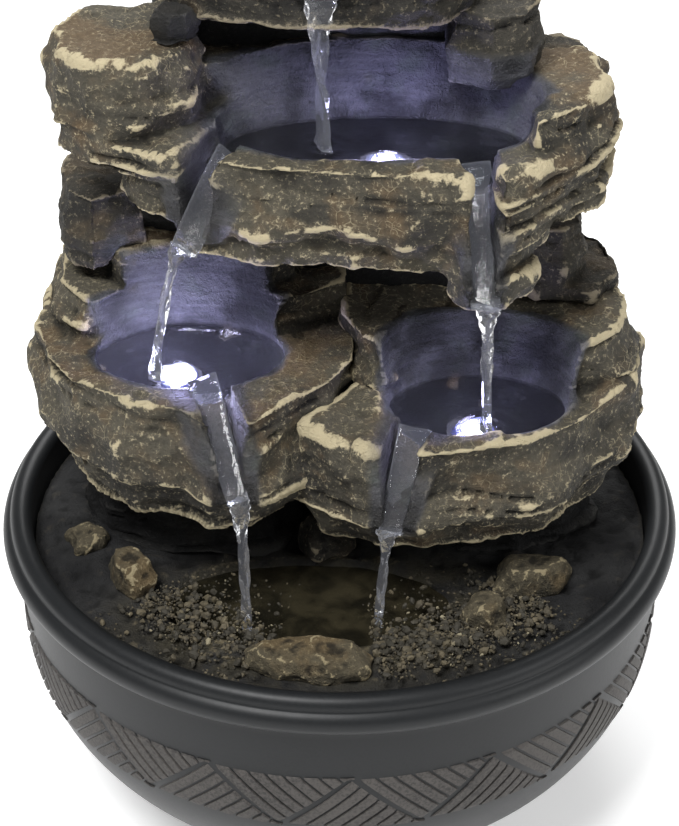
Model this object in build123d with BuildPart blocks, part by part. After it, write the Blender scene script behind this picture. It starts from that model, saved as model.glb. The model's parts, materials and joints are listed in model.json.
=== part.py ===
"""Tabletop water fountain: a cast bowl, a ground plate that covers its reservoir, and a hollow rock tower
with four spilling basins, an internal pump, a riser hose and three basin lights.

Millimetres. +Z is up, -Y is the front, and the origin is the centre of the foot, on the table.
Every rock is a pile of faceted layers. A layer is (low, high, low scale, high scale, outline), and its
outline is drawn to scale about its own middle at the two heights.
"""

import math
import os

from build123d import *

os.makedirs("parts", exist_ok=True)

# ---------------------------------------------------------------- driving dimensions
RIM_RADIUS = 110.0
RIM_TOP = 107.5
WALL_RADIUS = 105.0  # outside of the bowl below its rim
WALL_BEND_Z = 70.0  # the wall is upright above this and an ellipse below it
WALL_ELLIPSE = 80.0  # the ellipse's height
PAD_THICKNESS = 2.0
PAD_RADIUS = 6.5
PAD_CIRCLE = 44.0

RESERVOIR_RADIUS = 98.5
RESERVOIR_ELLIPSE = 74.0
RESERVOIR_FLOOR = 9.0
LEDGE_Z = 88.0  # the ground plate rests on this step
MOUTH_RADIUS = 100.5

GROUND_TOP = 97.0
PLATE_RADIUS = 100.1
POOL_FLOOR = 90.0

CORE_MID_Z = 198.0  # the tower's wide lower half ends here
CORE_TOP_Z = 268.0
CORE_WALL = 6.0
HATCH_HALF_WIDTH = 34.0
HATCH_LOW, HATCH_HIGH = 114.0, 180.0
CORE_BACK = 80.0
HATCH_GAP = 0.6
HATCH_LAP = 4.4

CABLE_HOLE_RADIUS = 2.6
GROMMET_SIDE = 10.0  # the grommet's body and its window in the wall are square
GROMMET_Z = 80.0

PUMP_X, PUMP_Z = -5.0, 32.0
NOZZLE_Y = 42.0
HOSE_OUTSIDE, HOSE_INSIDE = 5.0, 3.5
HOSE_LOW, HOSE_HIGH = 52.0, 294.0
SHAFT_RADIUS = 1.5
RUNNING_GAP = 0.05

LIGHT_RADIUS = 8.0
LIGHT_DEPTH = 8.5
LEAD_RADIUS = 1.25
LEAD_CHANNEL = 2.2
LEAD_DROP = 5.0  # a lead leaves its light this far below the basin's floor
LEAD_BEND = 8.0

FRONT = (0, -1, 0)
BACK = (0, 1, 0)


# ---------------------------------------------------------------- helpers
def scaled(outline, scale):
    """The outline drawn to scale about the mean of its points."""
    middle_x = sum(x for x, _ in outline) / len(outline)
    middle_y = sum(y for _, y in outline) / len(outline)
    return [(middle_x + (x - middle_x) * scale, middle_y + (y - middle_y) * scale) for x, y in outline]


def rock(layers):
    """One rock, piled up from faceted layers."""
    with BuildPart() as pile:
        for low, high, low_scale, high_scale, outline in layers:
            with BuildSketch(Plane.XY.offset(low)):
                Polygon(*scaled(outline, low_scale), align=None)
            with BuildSketch(Plane.XY.offset(high)):
                Polygon(*scaled(outline, high_scale), align=None)
            loft(ruled=True)
    return pile.part


def basin(levels):
    """The hollow of a basin, through ellipses given as (height, x, y, half width, half depth)."""
    with BuildPart() as hollow:
        for lower, upper in zip(levels, levels[1:]):
            for height, x, y, half_width, half_depth in (lower, upper):
                with BuildSketch(Plane.XY.offset(height)):
                    with Locations((x, y)):
                        Ellipse(half_width, half_depth)
            loft(ruled=True)
    return hollow.part


def trough(start, end, start_widths, end_widths, depth):
    """The notch that a basin spills through, from start to end, with its widths at floor and top."""
    with BuildPart() as notch:
        for point, (floor_width, top_width) in ((start, start_widths), (end, end_widths)):
            across = Plane(origin=point, x_dir=(1, 0, 0), z_dir=FRONT)
            with BuildSketch(across):
                Polygon(
                    (-floor_width / 2, 0),
                    (floor_width / 2, 0),
                    (top_width / 2, depth),
                    (-top_width / 2, depth),
                    align=None,
                )
        loft(ruled=True)
    return notch.part


def rod(start, axis, length, radius):
    """A plain cylinder from start along axis, for pins, channels and holes."""
    with BuildPart() as cylinder:
        with BuildSketch(Plane(origin=start, z_dir=axis)):
            Circle(radius)
        extrude(amount=length)
    return cylinder.part


def block(low_corner, high_corner):
    """A box between two opposite corners."""
    size = [high - low for low, high in zip(low_corner, high_corner)]
    with BuildPart() as box:
        with BuildSketch(Plane.XY.offset(low_corner[2])):
            with Locations((low_corner[0], low_corner[1])):
                Rectangle(size[0], size[1], align=(Align.MIN, Align.MIN))
        extrude(amount=size[2])
    return box.part


def write(part, name):
    part.label = name
    export_step(part, f"parts/{name}.step")


# ---------------------------------------------------------------- bowl
def on_wall(height, radius, ellipse):
    """The wall's radius at a height on its lower, elliptic stretch."""
    return radius * math.sqrt(1 - ((WALL_BEND_Z - height) / ellipse) ** 2)


foot_radius = on_wall(PAD_THICKNESS, WALL_RADIUS, WALL_ELLIPSE)
floor_radius = on_wall(RESERVOIR_FLOOR, RESERVOIR_RADIUS, RESERVOIR_ELLIPSE)
ROLL_RADIUS = 4.0  # the bead round the mouth
ROLL_Z = RIM_TOP - ROLL_RADIUS
BAND_RADIUS = 107.3  # the rounded band under the bead
BAND_LOW, BAND_MIDDLE, BAND_HIGH = 95.6, 99.6, 103.6
WALL_STEPS = 6


def wall_points(bottom, radius, ellipse):
    """Points down the elliptic stretch, evenly spaced in height."""
    heights = [WALL_BEND_Z + (bottom - WALL_BEND_Z) * step / WALL_STEPS for step in range(WALL_STEPS + 1)]
    return [(on_wall(height, radius, ellipse), height) for height in heights]


def square_bar(low_y, high_y, side):
    """A square bar along Y through the cable hole's middle."""
    half = side / 2
    return block((-half, low_y, GROMMET_Z - half), (half, high_y, GROMMET_Z + half))


with BuildPart() as bowl:
    with BuildSketch(Plane.XZ):
        with BuildLine():
            Polyline((0, PAD_THICKNESS), (foot_radius, PAD_THICKNESS))
            Spline(*reversed(wall_points(PAD_THICKNESS, WALL_RADIUS, WALL_ELLIPSE)))
            Polyline((WALL_RADIUS, WALL_BEND_Z), (WALL_RADIUS, BAND_LOW - 1.4), (BAND_RADIUS, BAND_LOW))
            ThreePointArc((BAND_RADIUS, BAND_LOW), (RIM_RADIUS, BAND_MIDDLE), (BAND_RADIUS, BAND_HIGH))
            ThreePointArc(
                (BAND_RADIUS, BAND_HIGH), (MOUTH_RADIUS + ROLL_RADIUS, RIM_TOP), (MOUTH_RADIUS, ROLL_Z)
            )
            Polyline(
                (MOUTH_RADIUS, ROLL_Z),
                (MOUTH_RADIUS, LEDGE_Z),
                (RESERVOIR_RADIUS, LEDGE_Z),
                (RESERVOIR_RADIUS, WALL_BEND_Z),
            )
            Spline(*wall_points(RESERVOIR_FLOOR, RESERVOIR_RADIUS, RESERVOIR_ELLIPSE))
            Polyline((floor_radius, RESERVOIR_FLOOR), (0, RESERVOIR_FLOOR), (0, PAD_THICKNESS))
        make_face()
    revolve(axis=Axis.Z)
    add(square_bar(RESERVOIR_RADIUS - 6, WALL_RADIUS + 4, GROMMET_SIDE), mode=Mode.SUBTRACT)
write(bowl.part, "bowl")

with BuildPart() as foot_pads:
    with BuildSketch():
        with PolarLocations(PAD_CIRCLE, 4, start_angle=45):
            Circle(PAD_RADIUS)
    extrude(amount=PAD_THICKNESS)
write(foot_pads.part, "foot_pads")

GROMMET_INNER = 96.0  # the grommet's inner end
GROMMET_OUTER = 107.2
FLANGE_SIDE = 15.0
FLANGE_THICKNESS = 2.0
WALL_GAP = 0.05
with BuildPart() as cable_grommet:
    add(square_bar(GROMMET_INNER, GROMMET_OUTER, GROMMET_SIDE))
    add(square_bar(GROMMET_INNER, GROMMET_INNER + FLANGE_THICKNESS, FLANGE_SIDE))
    add(square_bar(WALL_RADIUS + WALL_GAP, GROMMET_OUTER, FLANGE_SIDE))
    add(rod((0, GROMMET_INNER - 1, GROMMET_Z), BACK, 14, CABLE_HOLE_RADIUS), mode=Mode.SUBTRACT)
write(cable_grommet.part, "cable_grommet")

# ---------------------------------------------------------------- tower core
CORE_LOW_OUTLINE = [(-62, 16), (64, 16), (72, 34), (66, 56), (44, 80), (-44, 80), (-66, 56), (-70, 34)]
CORE_LOW_HOLLOW = [(-57, 22), (59, 22), (66, 36), (61, 53), (41, 74), (-41, 74), (-61, 53), (-64, 36)]
CORE_HIGH_OUTLINE = [(-46, 30), (46, 30), (54, 46), (44, 68), (12, 76), (-30, 74), (-52, 60), (-54, 44)]
CORE_HIGH_HOLLOW = [(-40, 36), (40, 36), (47, 47), (39, 62), (10, 69), (-27, 68), (-45, 56), (-47, 46)]

core_outside = rock(
    [
        (GROUND_TOP, CORE_MID_Z, 1.0, 1.0, CORE_LOW_OUTLINE),
        (CORE_MID_Z, CORE_TOP_Z, 1.0, 1.0, CORE_HIGH_OUTLINE),
    ]
)
core_inside = rock(
    [
        (GROUND_TOP, CORE_MID_Z - CORE_WALL, 1.0, 1.0, CORE_LOW_HOLLOW),
        (CORE_MID_Z - CORE_WALL, CORE_TOP_Z - CORE_WALL, 1.0, 1.0, CORE_HIGH_HOLLOW),
    ]
)

# Basin floors and the middles of their lights
LIGHTS = {
    "left": (-50.0, -14.0, 153.0, 16.0),
    "right": (41.0, -29.0, 143.0, 16.0),
    "middle": (14.0, 4.0, 216.0, 30.0),
}


def lead_hole(x, y, floor, core_front):
    """The channel that a light's lead runs in, from its seat into the core's hollow."""
    return rod((x, y, floor - LEAD_DROP), BACK, core_front + CORE_WALL + 1 - y, LEAD_CHANNEL)


with BuildPart() as tower_core:
    add(core_outside)
    add(core_inside, mode=Mode.SUBTRACT)
    add(
        block((-HATCH_HALF_WIDTH, 70, HATCH_LOW), (HATCH_HALF_WIDTH, 84, HATCH_HIGH)),
        mode=Mode.SUBTRACT,
    )
    for light in LIGHTS.values():
        add(lead_hole(*light), mode=Mode.SUBTRACT)
    add(
        rod((PUMP_X, NOZZLE_Y, CORE_TOP_Z - 10), (0, 0, 1), 20, HOSE_OUTSIDE + 0.1),
        mode=Mode.SUBTRACT,
    )
write(tower_core.part, "tower_core")

# The hatch lifts straight back over the bowl's rim, so its flange stays above the rim.
GRIP_OUTLINE = [(-16, 84), (-12, 92), (2, 95), (13, 91), (17, 84)]
with BuildPart() as rear_cover:
    add(
        block(
            (-HATCH_HALF_WIDTH + HATCH_GAP, CORE_BACK - 5, HATCH_LOW + HATCH_GAP),
            (HATCH_HALF_WIDTH - HATCH_GAP, CORE_BACK, HATCH_HIGH - HATCH_GAP),
        )
    )
    add(
        block(
            (-HATCH_HALF_WIDTH - HATCH_LAP, CORE_BACK, HATCH_LOW - HATCH_LAP),
            (HATCH_HALF_WIDTH + HATCH_LAP, CORE_BACK + 5, HATCH_HIGH + HATCH_LAP),
        )
    )
    add(rock([(152, 162, 0.9, 1.0, GRIP_OUTLINE), (162, 167, 1.0, 0.85, GRIP_OUTLINE)]))
write(rear_cover.part, "rear_cover")

# ---------------------------------------------------------------- ground plate
BAY = [(-45, 26), (45, 26), (45, 70), (-45, 70)]  # the pump is lifted through this
POOL_MIDDLE = (-10, -48)
GROUND_POOL = [(POOL_FLOOR, *POOL_MIDDLE, 40, 18), (GROUND_TOP + 1, *POOL_MIDDLE, 48, 24)]
DRAIN_MIDDLE = (-10, -35.5)  # at the back of the pool, under the overhang of the basins
DRAIN_COUNT, DRAIN_PITCH, DRAIN_SLOT = 3, 14, (10, 4.5)
with BuildPart() as ground_plate:
    add(rod((0, 0, LEDGE_Z), (0, 0, 1), GROUND_TOP - LEDGE_Z, PLATE_RADIUS))
    chamfer(ground_plate.edges().group_by(Axis.Z)[-1], length=2.5, length2=6.0)
    add(basin(GROUND_POOL), mode=Mode.SUBTRACT)
    with BuildSketch(Plane.XY.offset(LEDGE_Z)):
        Polygon(*BAY, align=None)
    extrude(amount=GROUND_TOP - LEDGE_Z, mode=Mode.SUBTRACT)
    with BuildSketch(Plane.XY.offset(LEDGE_Z)):
        with Locations(DRAIN_MIDDLE):
            with GridLocations(DRAIN_PITCH, 1, DRAIN_COUNT, 1):
                SlotOverall(*DRAIN_SLOT)
    extrude(amount=GROUND_TOP - LEDGE_Z, mode=Mode.SUBTRACT)
write(ground_plate.part, "ground_plate")

# ---------------------------------------------------------------- basin tiers
LEFT_WIDE = [
    (-90, 38), (-98, 8), (-94, -14), (-84, -30), (-66, -41), (-47, -48), (-38, -57),
    (-24, -56), (-13, -44), (0, -32), (8, -18), (8, 22), (-60, 34),
]
LEFT_BACK = [(-88, 36), (-90, 8), (-80, -6), (-62, -4), (-24, -6), (-8, 0), (4, 8), (4, 22), (-60, 34)]
LEFT_ARCH = [(-74, 30), (-74, 8), (-62, -2), (-26, -2), (-13, 8), (-11, 22)]
left_rock = rock(
    [
        (128, 140, 0.82, 0.96, LEFT_WIDE),
        (140, 154, 1.0, 0.975, LEFT_WIDE),
        (154, 167, 0.965, 0.93, LEFT_WIDE),
        (167, 180, 1.0, 0.95, LEFT_BACK),
        (180, 192, 0.98, 0.9, LEFT_ARCH),
    ]
)
left_hollow = basin(
    [(153, -46, -14, 20, 12), (165, -46, -14, 28, 19), (178, -46, -14, 31, 21.5), (196, -45, -14, 33, 23)]
)
left_spout = trough((-42, -24, 163), (-30, -62, 138), (12, 18), (4, 12), 34)

RIGHT_WIDE = [
    (84, 36), (97, 10), (96, -6), (88, -22), (75, -38), (57, -51), (36, -56), (24, -58),
    (8, -57), (-3, -51), (-13, -43), (-15, -28), (-5, -8), (2, 22), (66, 28),
]
RIGHT_BACK = [
    (84, 34), (92, 6), (88, -12), (79, -21), (70, -25), (42, -30), (14, -25), (4, -15), (0, 0), (2, 22),
    (66, 28),
]
right_rock = rock(
    [
        (120, 132, 0.82, 0.96, RIGHT_WIDE),
        (132, 145, 1.0, 0.98, RIGHT_WIDE),
        (145, 158, 0.97, 0.95, RIGHT_WIDE),
        (158, 174, 1.0, 0.95, RIGHT_BACK),
    ]
)
right_hollow = basin(
    [(143, 42, -28, 19, 12), (155, 42, -27, 27, 18), (164, 42, -24, 28.5, 21), (178, 43, -20, 31, 24)]
)
right_spout = trough((23, -36, 153), (15, -61, 126), (12, 17), (4, 12), 34)

MIDDLE_LOW = [
    (-44, 40), (-50, 12), (-52, -14), (-48, -24), (-39, -26), (-27, -29), (-8, -32), (12, -34),
    (30, -38), (36, -43), (48, -42), (58, -28), (66, -10), (68, 12), (60, 40),
]
MIDDLE_WIDE = [
    (-60, 40), (-66, 10), (-64, -12), (-51, -22), (-38, -26), (-28, -31), (-8, -34), (12, -36),
    (30, -39), (37, -43), (50, -41), (64, -26), (78, -8), (82, 8), (74, 40),
]
MIDDLE_TOP = [
    (-78, 40), (-86, 18), (-84, -2), (-74, -13), (-60, -18), (-50, -23), (-38, -26), (-28, -30), (-8, -33),
    (12, -36), (30, -39), (37, -43), (50, -38), (66, -22), (80, -6), (84, 10), (76, 40),
]
MIDDLE_LEFT = [(-78, 42), (-86, 20), (-84, -2), (-74, -12), (-58, -12), (-44, -2), (-40, 14), (-40, 42)]
MIDDLE_RIGHT = [(56, -22), (72, -10), (80, 8), (76, 36), (54, 38), (50, 12), (54, -8)]
MIDDLE_BACK = [(-46, 40), (-48, 10), (-30, 14), (10, 18), (40, 14), (58, 8), (56, 40)]
SPOUT_LIP = [(30, -38), (36, -43), (48, -42), (57, -28), (52, -12), (30, -12)]
middle_rock = rock(
    [
        (198, 207, 0.8, 1.0, SPOUT_LIP),
        (207, 217, 0.92, 0.985, MIDDLE_LOW),
        (217, 229, 0.99, 0.97, MIDDLE_WIDE),
        (229, 239, 0.985, 0.95, MIDDLE_TOP),
        (239, 251, 1.0, 0.97, MIDDLE_LEFT),
        (251, 261, 0.95, 0.86, MIDDLE_LEFT),
        (239, 248, 1.0, 0.94, MIDDLE_RIGHT),
        (239, 252, 1.0, 0.97, MIDDLE_BACK),
    ]
)
middle_hollow = basin(
    [(216, 11, 2, 34, 13), (228, 11, 1.5, 45, 21.5), (239, 11, 0.5, 48, 25), (254, 11, 2, 50, 27)]
)
middle_left_spout = trough((-30, -2, 225), (-46, -32, 208), (14, 22), (5, 14), 44)
middle_right_spout = trough((38, -6, 225), (42, -46, 197), (10, 14), (5, 10), 46)

CROWN_WIDE = [
    (-46, 60), (-56, 40), (-55, 20), (-42, 5), (-25, -1), (-15, -5), (3, -5), (13, -1), (27, 3),
    (41, 15), (47, 34), (42, 56), (12, 72), (-24, 70),
]
CROWN_CREST = [(-40, 62), (-44, 47), (-20, 49), (6, 51), (28, 47), (38, 54), (12, 70), (-24, 68)]
crown_rock = rock(
    [
        (268, 278, 0.93, 0.985, CROWN_WIDE),
        (278, 289, 1.0, 0.97, CROWN_WIDE),
        (289, 298, 0.96, 0.92, CROWN_WIDE),
        (298, 310, 0.98, 0.82, CROWN_CREST),
    ]
)
crown_hollow = basin([(280, -6, 28, 14, 9), (291, -6, 28, 22, 15), (300, -6, 28, 24, 17)])
crown_spout = trough((-6, 17, 289), (-6, -9, 278), (11, 17), (9, 15), 26)

with BuildPart() as left_basin_tier:
    add(left_rock)
    add(left_hollow, mode=Mode.SUBTRACT)
    add(left_spout, mode=Mode.SUBTRACT)
    add(core_outside, mode=Mode.SUBTRACT)

with BuildPart() as right_basin_tier:
    add(right_rock)
    add(right_hollow, mode=Mode.SUBTRACT)
    add(right_spout, mode=Mode.SUBTRACT)
    add(core_outside, mode=Mode.SUBTRACT)
    add(left_rock, mode=Mode.SUBTRACT)

with BuildPart() as middle_basin_tier:
    add(middle_rock)
    add(middle_hollow, mode=Mode.SUBTRACT)
    add(middle_left_spout, mode=Mode.SUBTRACT)
    add(middle_right_spout, mode=Mode.SUBTRACT)
    add(core_outside, mode=Mode.SUBTRACT)

with BuildPart() as crown_basin_tier:
    add(crown_rock)
    add(crown_hollow, mode=Mode.SUBTRACT)
    add(crown_spout, mode=Mode.SUBTRACT)
    add(
        rod((PUMP_X, NOZZLE_Y, CORE_TOP_Z - 1), (0, 0, 1), 60, HOSE_OUTSIDE + 0.1),
        mode=Mode.SUBTRACT,
    )

for tier, name in (
    (left_basin_tier, "left"),
    (right_basin_tier, "right"),
    (middle_basin_tier, "middle"),
):
    x, y, floor, core_front = LIGHTS[name]
    with tier:
        add(rod((x, y, floor - LIGHT_DEPTH), (0, 0, 1), 12, LIGHT_RADIUS + 0.1), mode=Mode.SUBTRACT)
        add(lead_hole(x, y, floor, core_front), mode=Mode.SUBTRACT)
    write(tier.part, f"{name}_basin_tier")
write(crown_basin_tier.part, "crown_basin_tier")

# ---------------------------------------------------------------- plain rocks of the tower
LEFT_SKIRT = [(-78, 26), (-85, 0), (-75, -16), (-56, -24), (-36, -25), (-20, -20), (-12, -8), (-10, 24)]
RIGHT_SKIRT = [(78, 26), (85, 0), (75, -16), (58, -25), (38, -24), (24, -12), (16, 24)]
LEFT_SHOULDER = [(-60, 8), (-76, 1), (-86, 10), (-89, 34), (-78, 53), (-62, 58)]
RIGHT_SHOULDER_LOW = [(60, 4), (78, 0), (88, 12), (89, 34), (76, 54), (60, 56)]
RIGHT_SHOULDER_HIGH = [(56, 8), (69, 4), (77, 14), (78, 34), (68, 50), (56, 52)]
RIGHT_SLAB = [(66, 12), (80, 16), (86, 34), (76, 50), (54, 55), (50, 36)]
RIGHT_BOULDER = [(30, 12), (44, 4), (57, 7), (62, 19), (60, 38), (44, 47), (33, 44)]
LEFT_KNOB = [(-56, 5), (-50, 1), (-43, 3), (-40, 10), (-45, 16), (-53, 13)]

plain_rocks = {
    "left_skirt_rock": rock([(GROUND_TOP, 110, 1.0, 0.97, LEFT_SKIRT), (110, 128, 0.94, 0.9, LEFT_SKIRT)]),
    "right_skirt_rock": rock([(GROUND_TOP, 108, 1.0, 0.97, RIGHT_SKIRT), (108, 120, 0.94, 0.9, RIGHT_SKIRT)]),
    "left_shoulder_rock": rock([(185, 197, 0.92, 1.0, LEFT_SHOULDER), (197, 210, 0.97, 0.84, LEFT_SHOULDER)]),
    "right_shoulder_rock": rock(
        [
            (170, 180, 1.0, 0.9, RIGHT_SHOULDER_LOW),
            (180, 188, 0.95, 1.0, RIGHT_SHOULDER_HIGH),
            (188, 197, 0.97, 0.84, RIGHT_SHOULDER_HIGH),
        ]
    ),
    "right_back_slab": rock([(212, 228, 0.88, 1.0, RIGHT_SLAB), (228, 243, 0.98, 0.82, RIGHT_SLAB)]),
    "right_boulder": rock([(245, 256, 0.9, 1.0, RIGHT_BOULDER), (256, 268, 1.0, 0.76, RIGHT_BOULDER)]),
    "left_knob_stone": rock([(261, 266, 0.95, 1.0, LEFT_KNOB), (266, 271, 1.0, 0.7, LEFT_KNOB)]),
}
neighbours = [core_outside, left_rock, right_rock, middle_rock, crown_rock]
for name, stone in plain_rocks.items():
    with BuildPart() as trimmed:
        add(stone)
        for neighbour in neighbours:
            add(neighbour, mode=Mode.SUBTRACT)
    write(trimmed.part, name)

# ---------------------------------------------------------------- stones on the ground plate
FRONT_STONE = [(-29, -74), (-16, -70), (2, -73), (11, -78), (8, -86), (-6, -89), (-22, -87), (-30, -81)]
RIGHT_STONE = [(48, -46), (58, -49), (70, -44), (73, -36), (64, -30), (51, -33)]
RIGHT_SMALL_STONE = [(37, -60), (45, -66), (52, -61), (51, -53), (42, -50)]
LEFT_STONE = [(-73, -32), (-66, -30), (-58, -38), (-57, -46), (-64, -50), (-71, -43)]
LEFT_SMALL_STONE = [(-90, -16), (-82, -12), (-74, -16), (-75, -24), (-85, -26)]
BACK_STONE = [(-13, -20), (-4, -17), (5, -20), (3, -28), (-8, -29)]
ground_stones = {
    "front_kerb_stone": [(8, FRONT_STONE)],
    "right_kerb_stones": [(9, RIGHT_STONE), (9, RIGHT_SMALL_STONE)],
    "left_kerb_stones": [(11, LEFT_STONE), (6, LEFT_SMALL_STONE)],
    "pool_back_stone": [(14, BACK_STONE)],
}
for name, stones in ground_stones.items():
    with BuildPart() as kerb:
        for height, outline in stones:
            middle = GROUND_TOP + 0.45 * height
            add(
                rock(
                    [
                        (GROUND_TOP, middle, 0.94, 1.0, outline),
                        (middle, GROUND_TOP + height, 1.0, 0.72, outline),
                    ]
                )
            )
        add(basin(GROUND_POOL), mode=Mode.SUBTRACT)
        for neighbour in (left_rock, plain_rocks["left_skirt_rock"], plain_rocks["right_skirt_rock"]):
            add(neighbour, mode=Mode.SUBTRACT)
    write(kerb.part, name)

RIGHT_GRAVEL = [(16, -78), (32, -80), (52, -70), (66, -54), (58, -52), (52, -68), (36, -70), (24, -74)]
LEFT_GRAVEL = [(-70, -52), (-58, -52), (-48, -64), (-34, -72), (-34, -80), (-52, -76), (-66, -64)]
with BuildPart() as gravel_banks:
    for outline in (RIGHT_GRAVEL, LEFT_GRAVEL):
        add(rock([(GROUND_TOP, GROUND_TOP + 3, 1.0, 0.8, outline)]))
write(gravel_banks.part, "gravel_banks")

# ---------------------------------------------------------------- riser hose
with BuildPart() as riser_hose:
    with BuildSketch(Plane.XY.offset(HOSE_LOW)):
        with Locations((PUMP_X, NOZZLE_Y)):
            Circle(HOSE_OUTSIDE)
            Circle(HOSE_INSIDE, mode=Mode.SUBTRACT)
    extrude(amount=HOSE_HIGH - HOSE_LOW)
write(riser_hose.part, "riser_hose")

with BuildPart() as hose_clip:
    with BuildSketch(Plane.XY.offset(56)):
        with Locations((PUMP_X, NOZZLE_Y)):
            Circle(HOSE_OUTSIDE + 1.2)
            Circle(HOSE_OUTSIDE, mode=Mode.SUBTRACT)
    extrude(amount=4)
    add(block((PUMP_X - 2.5, NOZZLE_Y + 5.6, 56), (PUMP_X - 1.0, NOZZLE_Y + 10, 60)))
    add(block((PUMP_X + 1.0, NOZZLE_Y + 5.6, 56), (PUMP_X + 2.5, NOZZLE_Y + 10, 60)))
write(hose_clip.part, "hose_clip")

# ---------------------------------------------------------------- basin lights
CUP_INSIDE = 6.5
JUNCTION_LOW, JUNCTION_HIGH = (0, 22, 110), (28, 34, 124)
JUNCTION_Z = 117.0
LEAD_ROUTES = {
    "left": [(-50, 28), (-50, 28), (0, 28)],
    "right": [(41, 28), (41, 28), (28, 28)],
    "middle": [(14, 46), (14, 46), (14, 34)],
}
for name, (x, y, floor, core_front) in LIGHTS.items():
    low = floor - LIGHT_DEPTH
    lead_z = floor - LEAD_DROP
    with BuildPart() as housing:
        add(rod((x, y, low), (0, 0, 1), LIGHT_DEPTH, LIGHT_RADIUS))
        add(rod((x, y, low + 1.5), (0, 0, 1), LIGHT_DEPTH, CUP_INSIDE), mode=Mode.SUBTRACT)
        add(rod((x, y, lead_z), BACK, 12, LEAD_RADIUS + 0.05), mode=Mode.SUBTRACT)
    write(housing.part, f"{name}_light_housing")

    with BuildPart() as board:
        add(rod((x, y, floor - 3.0), (0, 0, 1), 0.8, CUP_INSIDE - 0.3))
        with BuildSketch(Plane.XY.offset(floor - 2.2)):
            with Locations((x, y)):
                with PolarLocations(3.2, 3):
                    Rectangle(2.2, 2.2)
        extrude(amount=0.5)
    write(board.part, f"{name}_light_board")

    with BuildPart() as lens:
        add(rod((x, y, floor - 1.5), (0, 0, 1), 3.0, CUP_INSIDE))
        fillet(lens.edges().group_by(Axis.Z)[-1], radius=1.4)
    write(lens.part, f"{name}_light_lens")

    bends, turn, end = LEAD_ROUTES[name]
    route = [(x, y + 3, lead_z), (*bends, lead_z), (*turn, JUNCTION_Z), (*end, JUNCTION_Z)]
    with BuildPart() as lead:
        with BuildLine():
            FilletPolyline(*route, radius=LEAD_BEND)
        with BuildSketch(Plane(origin=route[0], z_dir=BACK)):
            Circle(LEAD_RADIUS)
        sweep()
    write(lead.part, f"{name}_light_lead")

with BuildPart() as junction_box:
    add(block(JUNCTION_LOW, JUNCTION_HIGH))
    fillet(junction_box.edges().filter_by(Axis.Y), radius=2)
write(junction_box.part, "junction_box")

# ---------------------------------------------------------------- pump
BODY_HALF_WIDTH, BODY_HALF_HEIGHT = 21.0, 19.0
BODY_Y = (4.0, 35.0)
SHELL = 3.0
WELL_RADIUS, WELL_WALL = 9.6, 1.4
WELL_END = 8.0
CHAMBER_RADIUS = 14.0
VOLUTE_Y = (36.0, 49.0)
COVER_Y = (49.0, 52.0)
STRAINER_Y = (52.0, 58.0)
BUSH_RADIUS = 3.0


def on_axis(y, length, radius):
    """A cylinder on the pump's axis."""
    return rod((PUMP_X, y, PUMP_Z), BACK, length, radius)


def pump_block(half_width, half_height, y_low, y_high):
    """A box centred on the pump's axis."""
    return block(
        (PUMP_X - half_width, y_low, PUMP_Z - half_height),
        (PUMP_X + half_width, y_high, PUMP_Z + half_height),
    )


with BuildPart() as pump_body:
    add(pump_block(BODY_HALF_WIDTH, BODY_HALF_HEIGHT, *BODY_Y))
    fillet(pump_body.edges().filter_by(Axis.Y), radius=4)
    add(
        pump_block(BODY_HALF_WIDTH - SHELL, BODY_HALF_HEIGHT - SHELL, BODY_Y[0], BODY_Y[1] - SHELL),
        mode=Mode.SUBTRACT,
    )
    add(on_axis(WELL_END - WELL_WALL, BODY_Y[1] - WELL_END + WELL_WALL, WELL_RADIUS + WELL_WALL))
    add(on_axis(WELL_END, BODY_Y[1], WELL_RADIUS), mode=Mode.SUBTRACT)
write(pump_body.part, "pump_body")

with BuildPart() as pump_back_plate:
    add(pump_block(BODY_HALF_WIDTH, BODY_HALF_HEIGHT, BODY_Y[0] - SHELL, BODY_Y[0]))
    fillet(pump_back_plate.edges().filter_by(Axis.Y), radius=4)
write(pump_back_plate.part, "pump_back_plate")

with BuildPart() as stator_core:
    add(pump_block(17, 15, 11.5, 26.5))
    add(on_axis(11, 16, WELL_RADIUS + WELL_WALL + 0.1), mode=Mode.SUBTRACT)
write(stator_core.part, "stator_core")

with BuildPart() as stator_windings:
    for y_low in (7.0, 27.0):
        with BuildSketch(Plane(origin=(PUMP_X, y_low, PUMP_Z), z_dir=BACK)):
            Circle(15.0)
            Circle(WELL_RADIUS + WELL_WALL + 0.1, mode=Mode.SUBTRACT)
        extrude(amount=4.2)
write(stator_windings.part, "stator_windings")

with BuildPart() as pump_gasket:
    with BuildSketch(Plane(origin=(PUMP_X, BODY_Y[1], PUMP_Z), z_dir=BACK)):
        Circle(14.5)
        Circle(WELL_RADIUS + 0.4, mode=Mode.SUBTRACT)
    extrude(amount=VOLUTE_Y[0] - BODY_Y[1])
write(pump_gasket.part, "pump_gasket")

NOZZLE_TOP = 64.0
with BuildPart() as pump_volute:
    add(pump_block(20, 18, *VOLUTE_Y))
    fillet(pump_volute.edges().filter_by(Axis.Y), radius=4)
    add(rod((PUMP_X, NOZZLE_Y, PUMP_Z + 17), (0, 0, 1), NOZZLE_TOP - PUMP_Z - 17, HOSE_INSIDE))
    add(on_axis(VOLUTE_Y[0], 3, WELL_RADIUS), mode=Mode.SUBTRACT)
    add(on_axis(VOLUTE_Y[0] + 2, 20, CHAMBER_RADIUS), mode=Mode.SUBTRACT)
    add(rod((PUMP_X, NOZZLE_Y, PUMP_Z + 10), (0, 0, 1), 40, HOSE_INSIDE - 1.0), mode=Mode.SUBTRACT)
write(pump_volute.part, "pump_volute")

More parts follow.
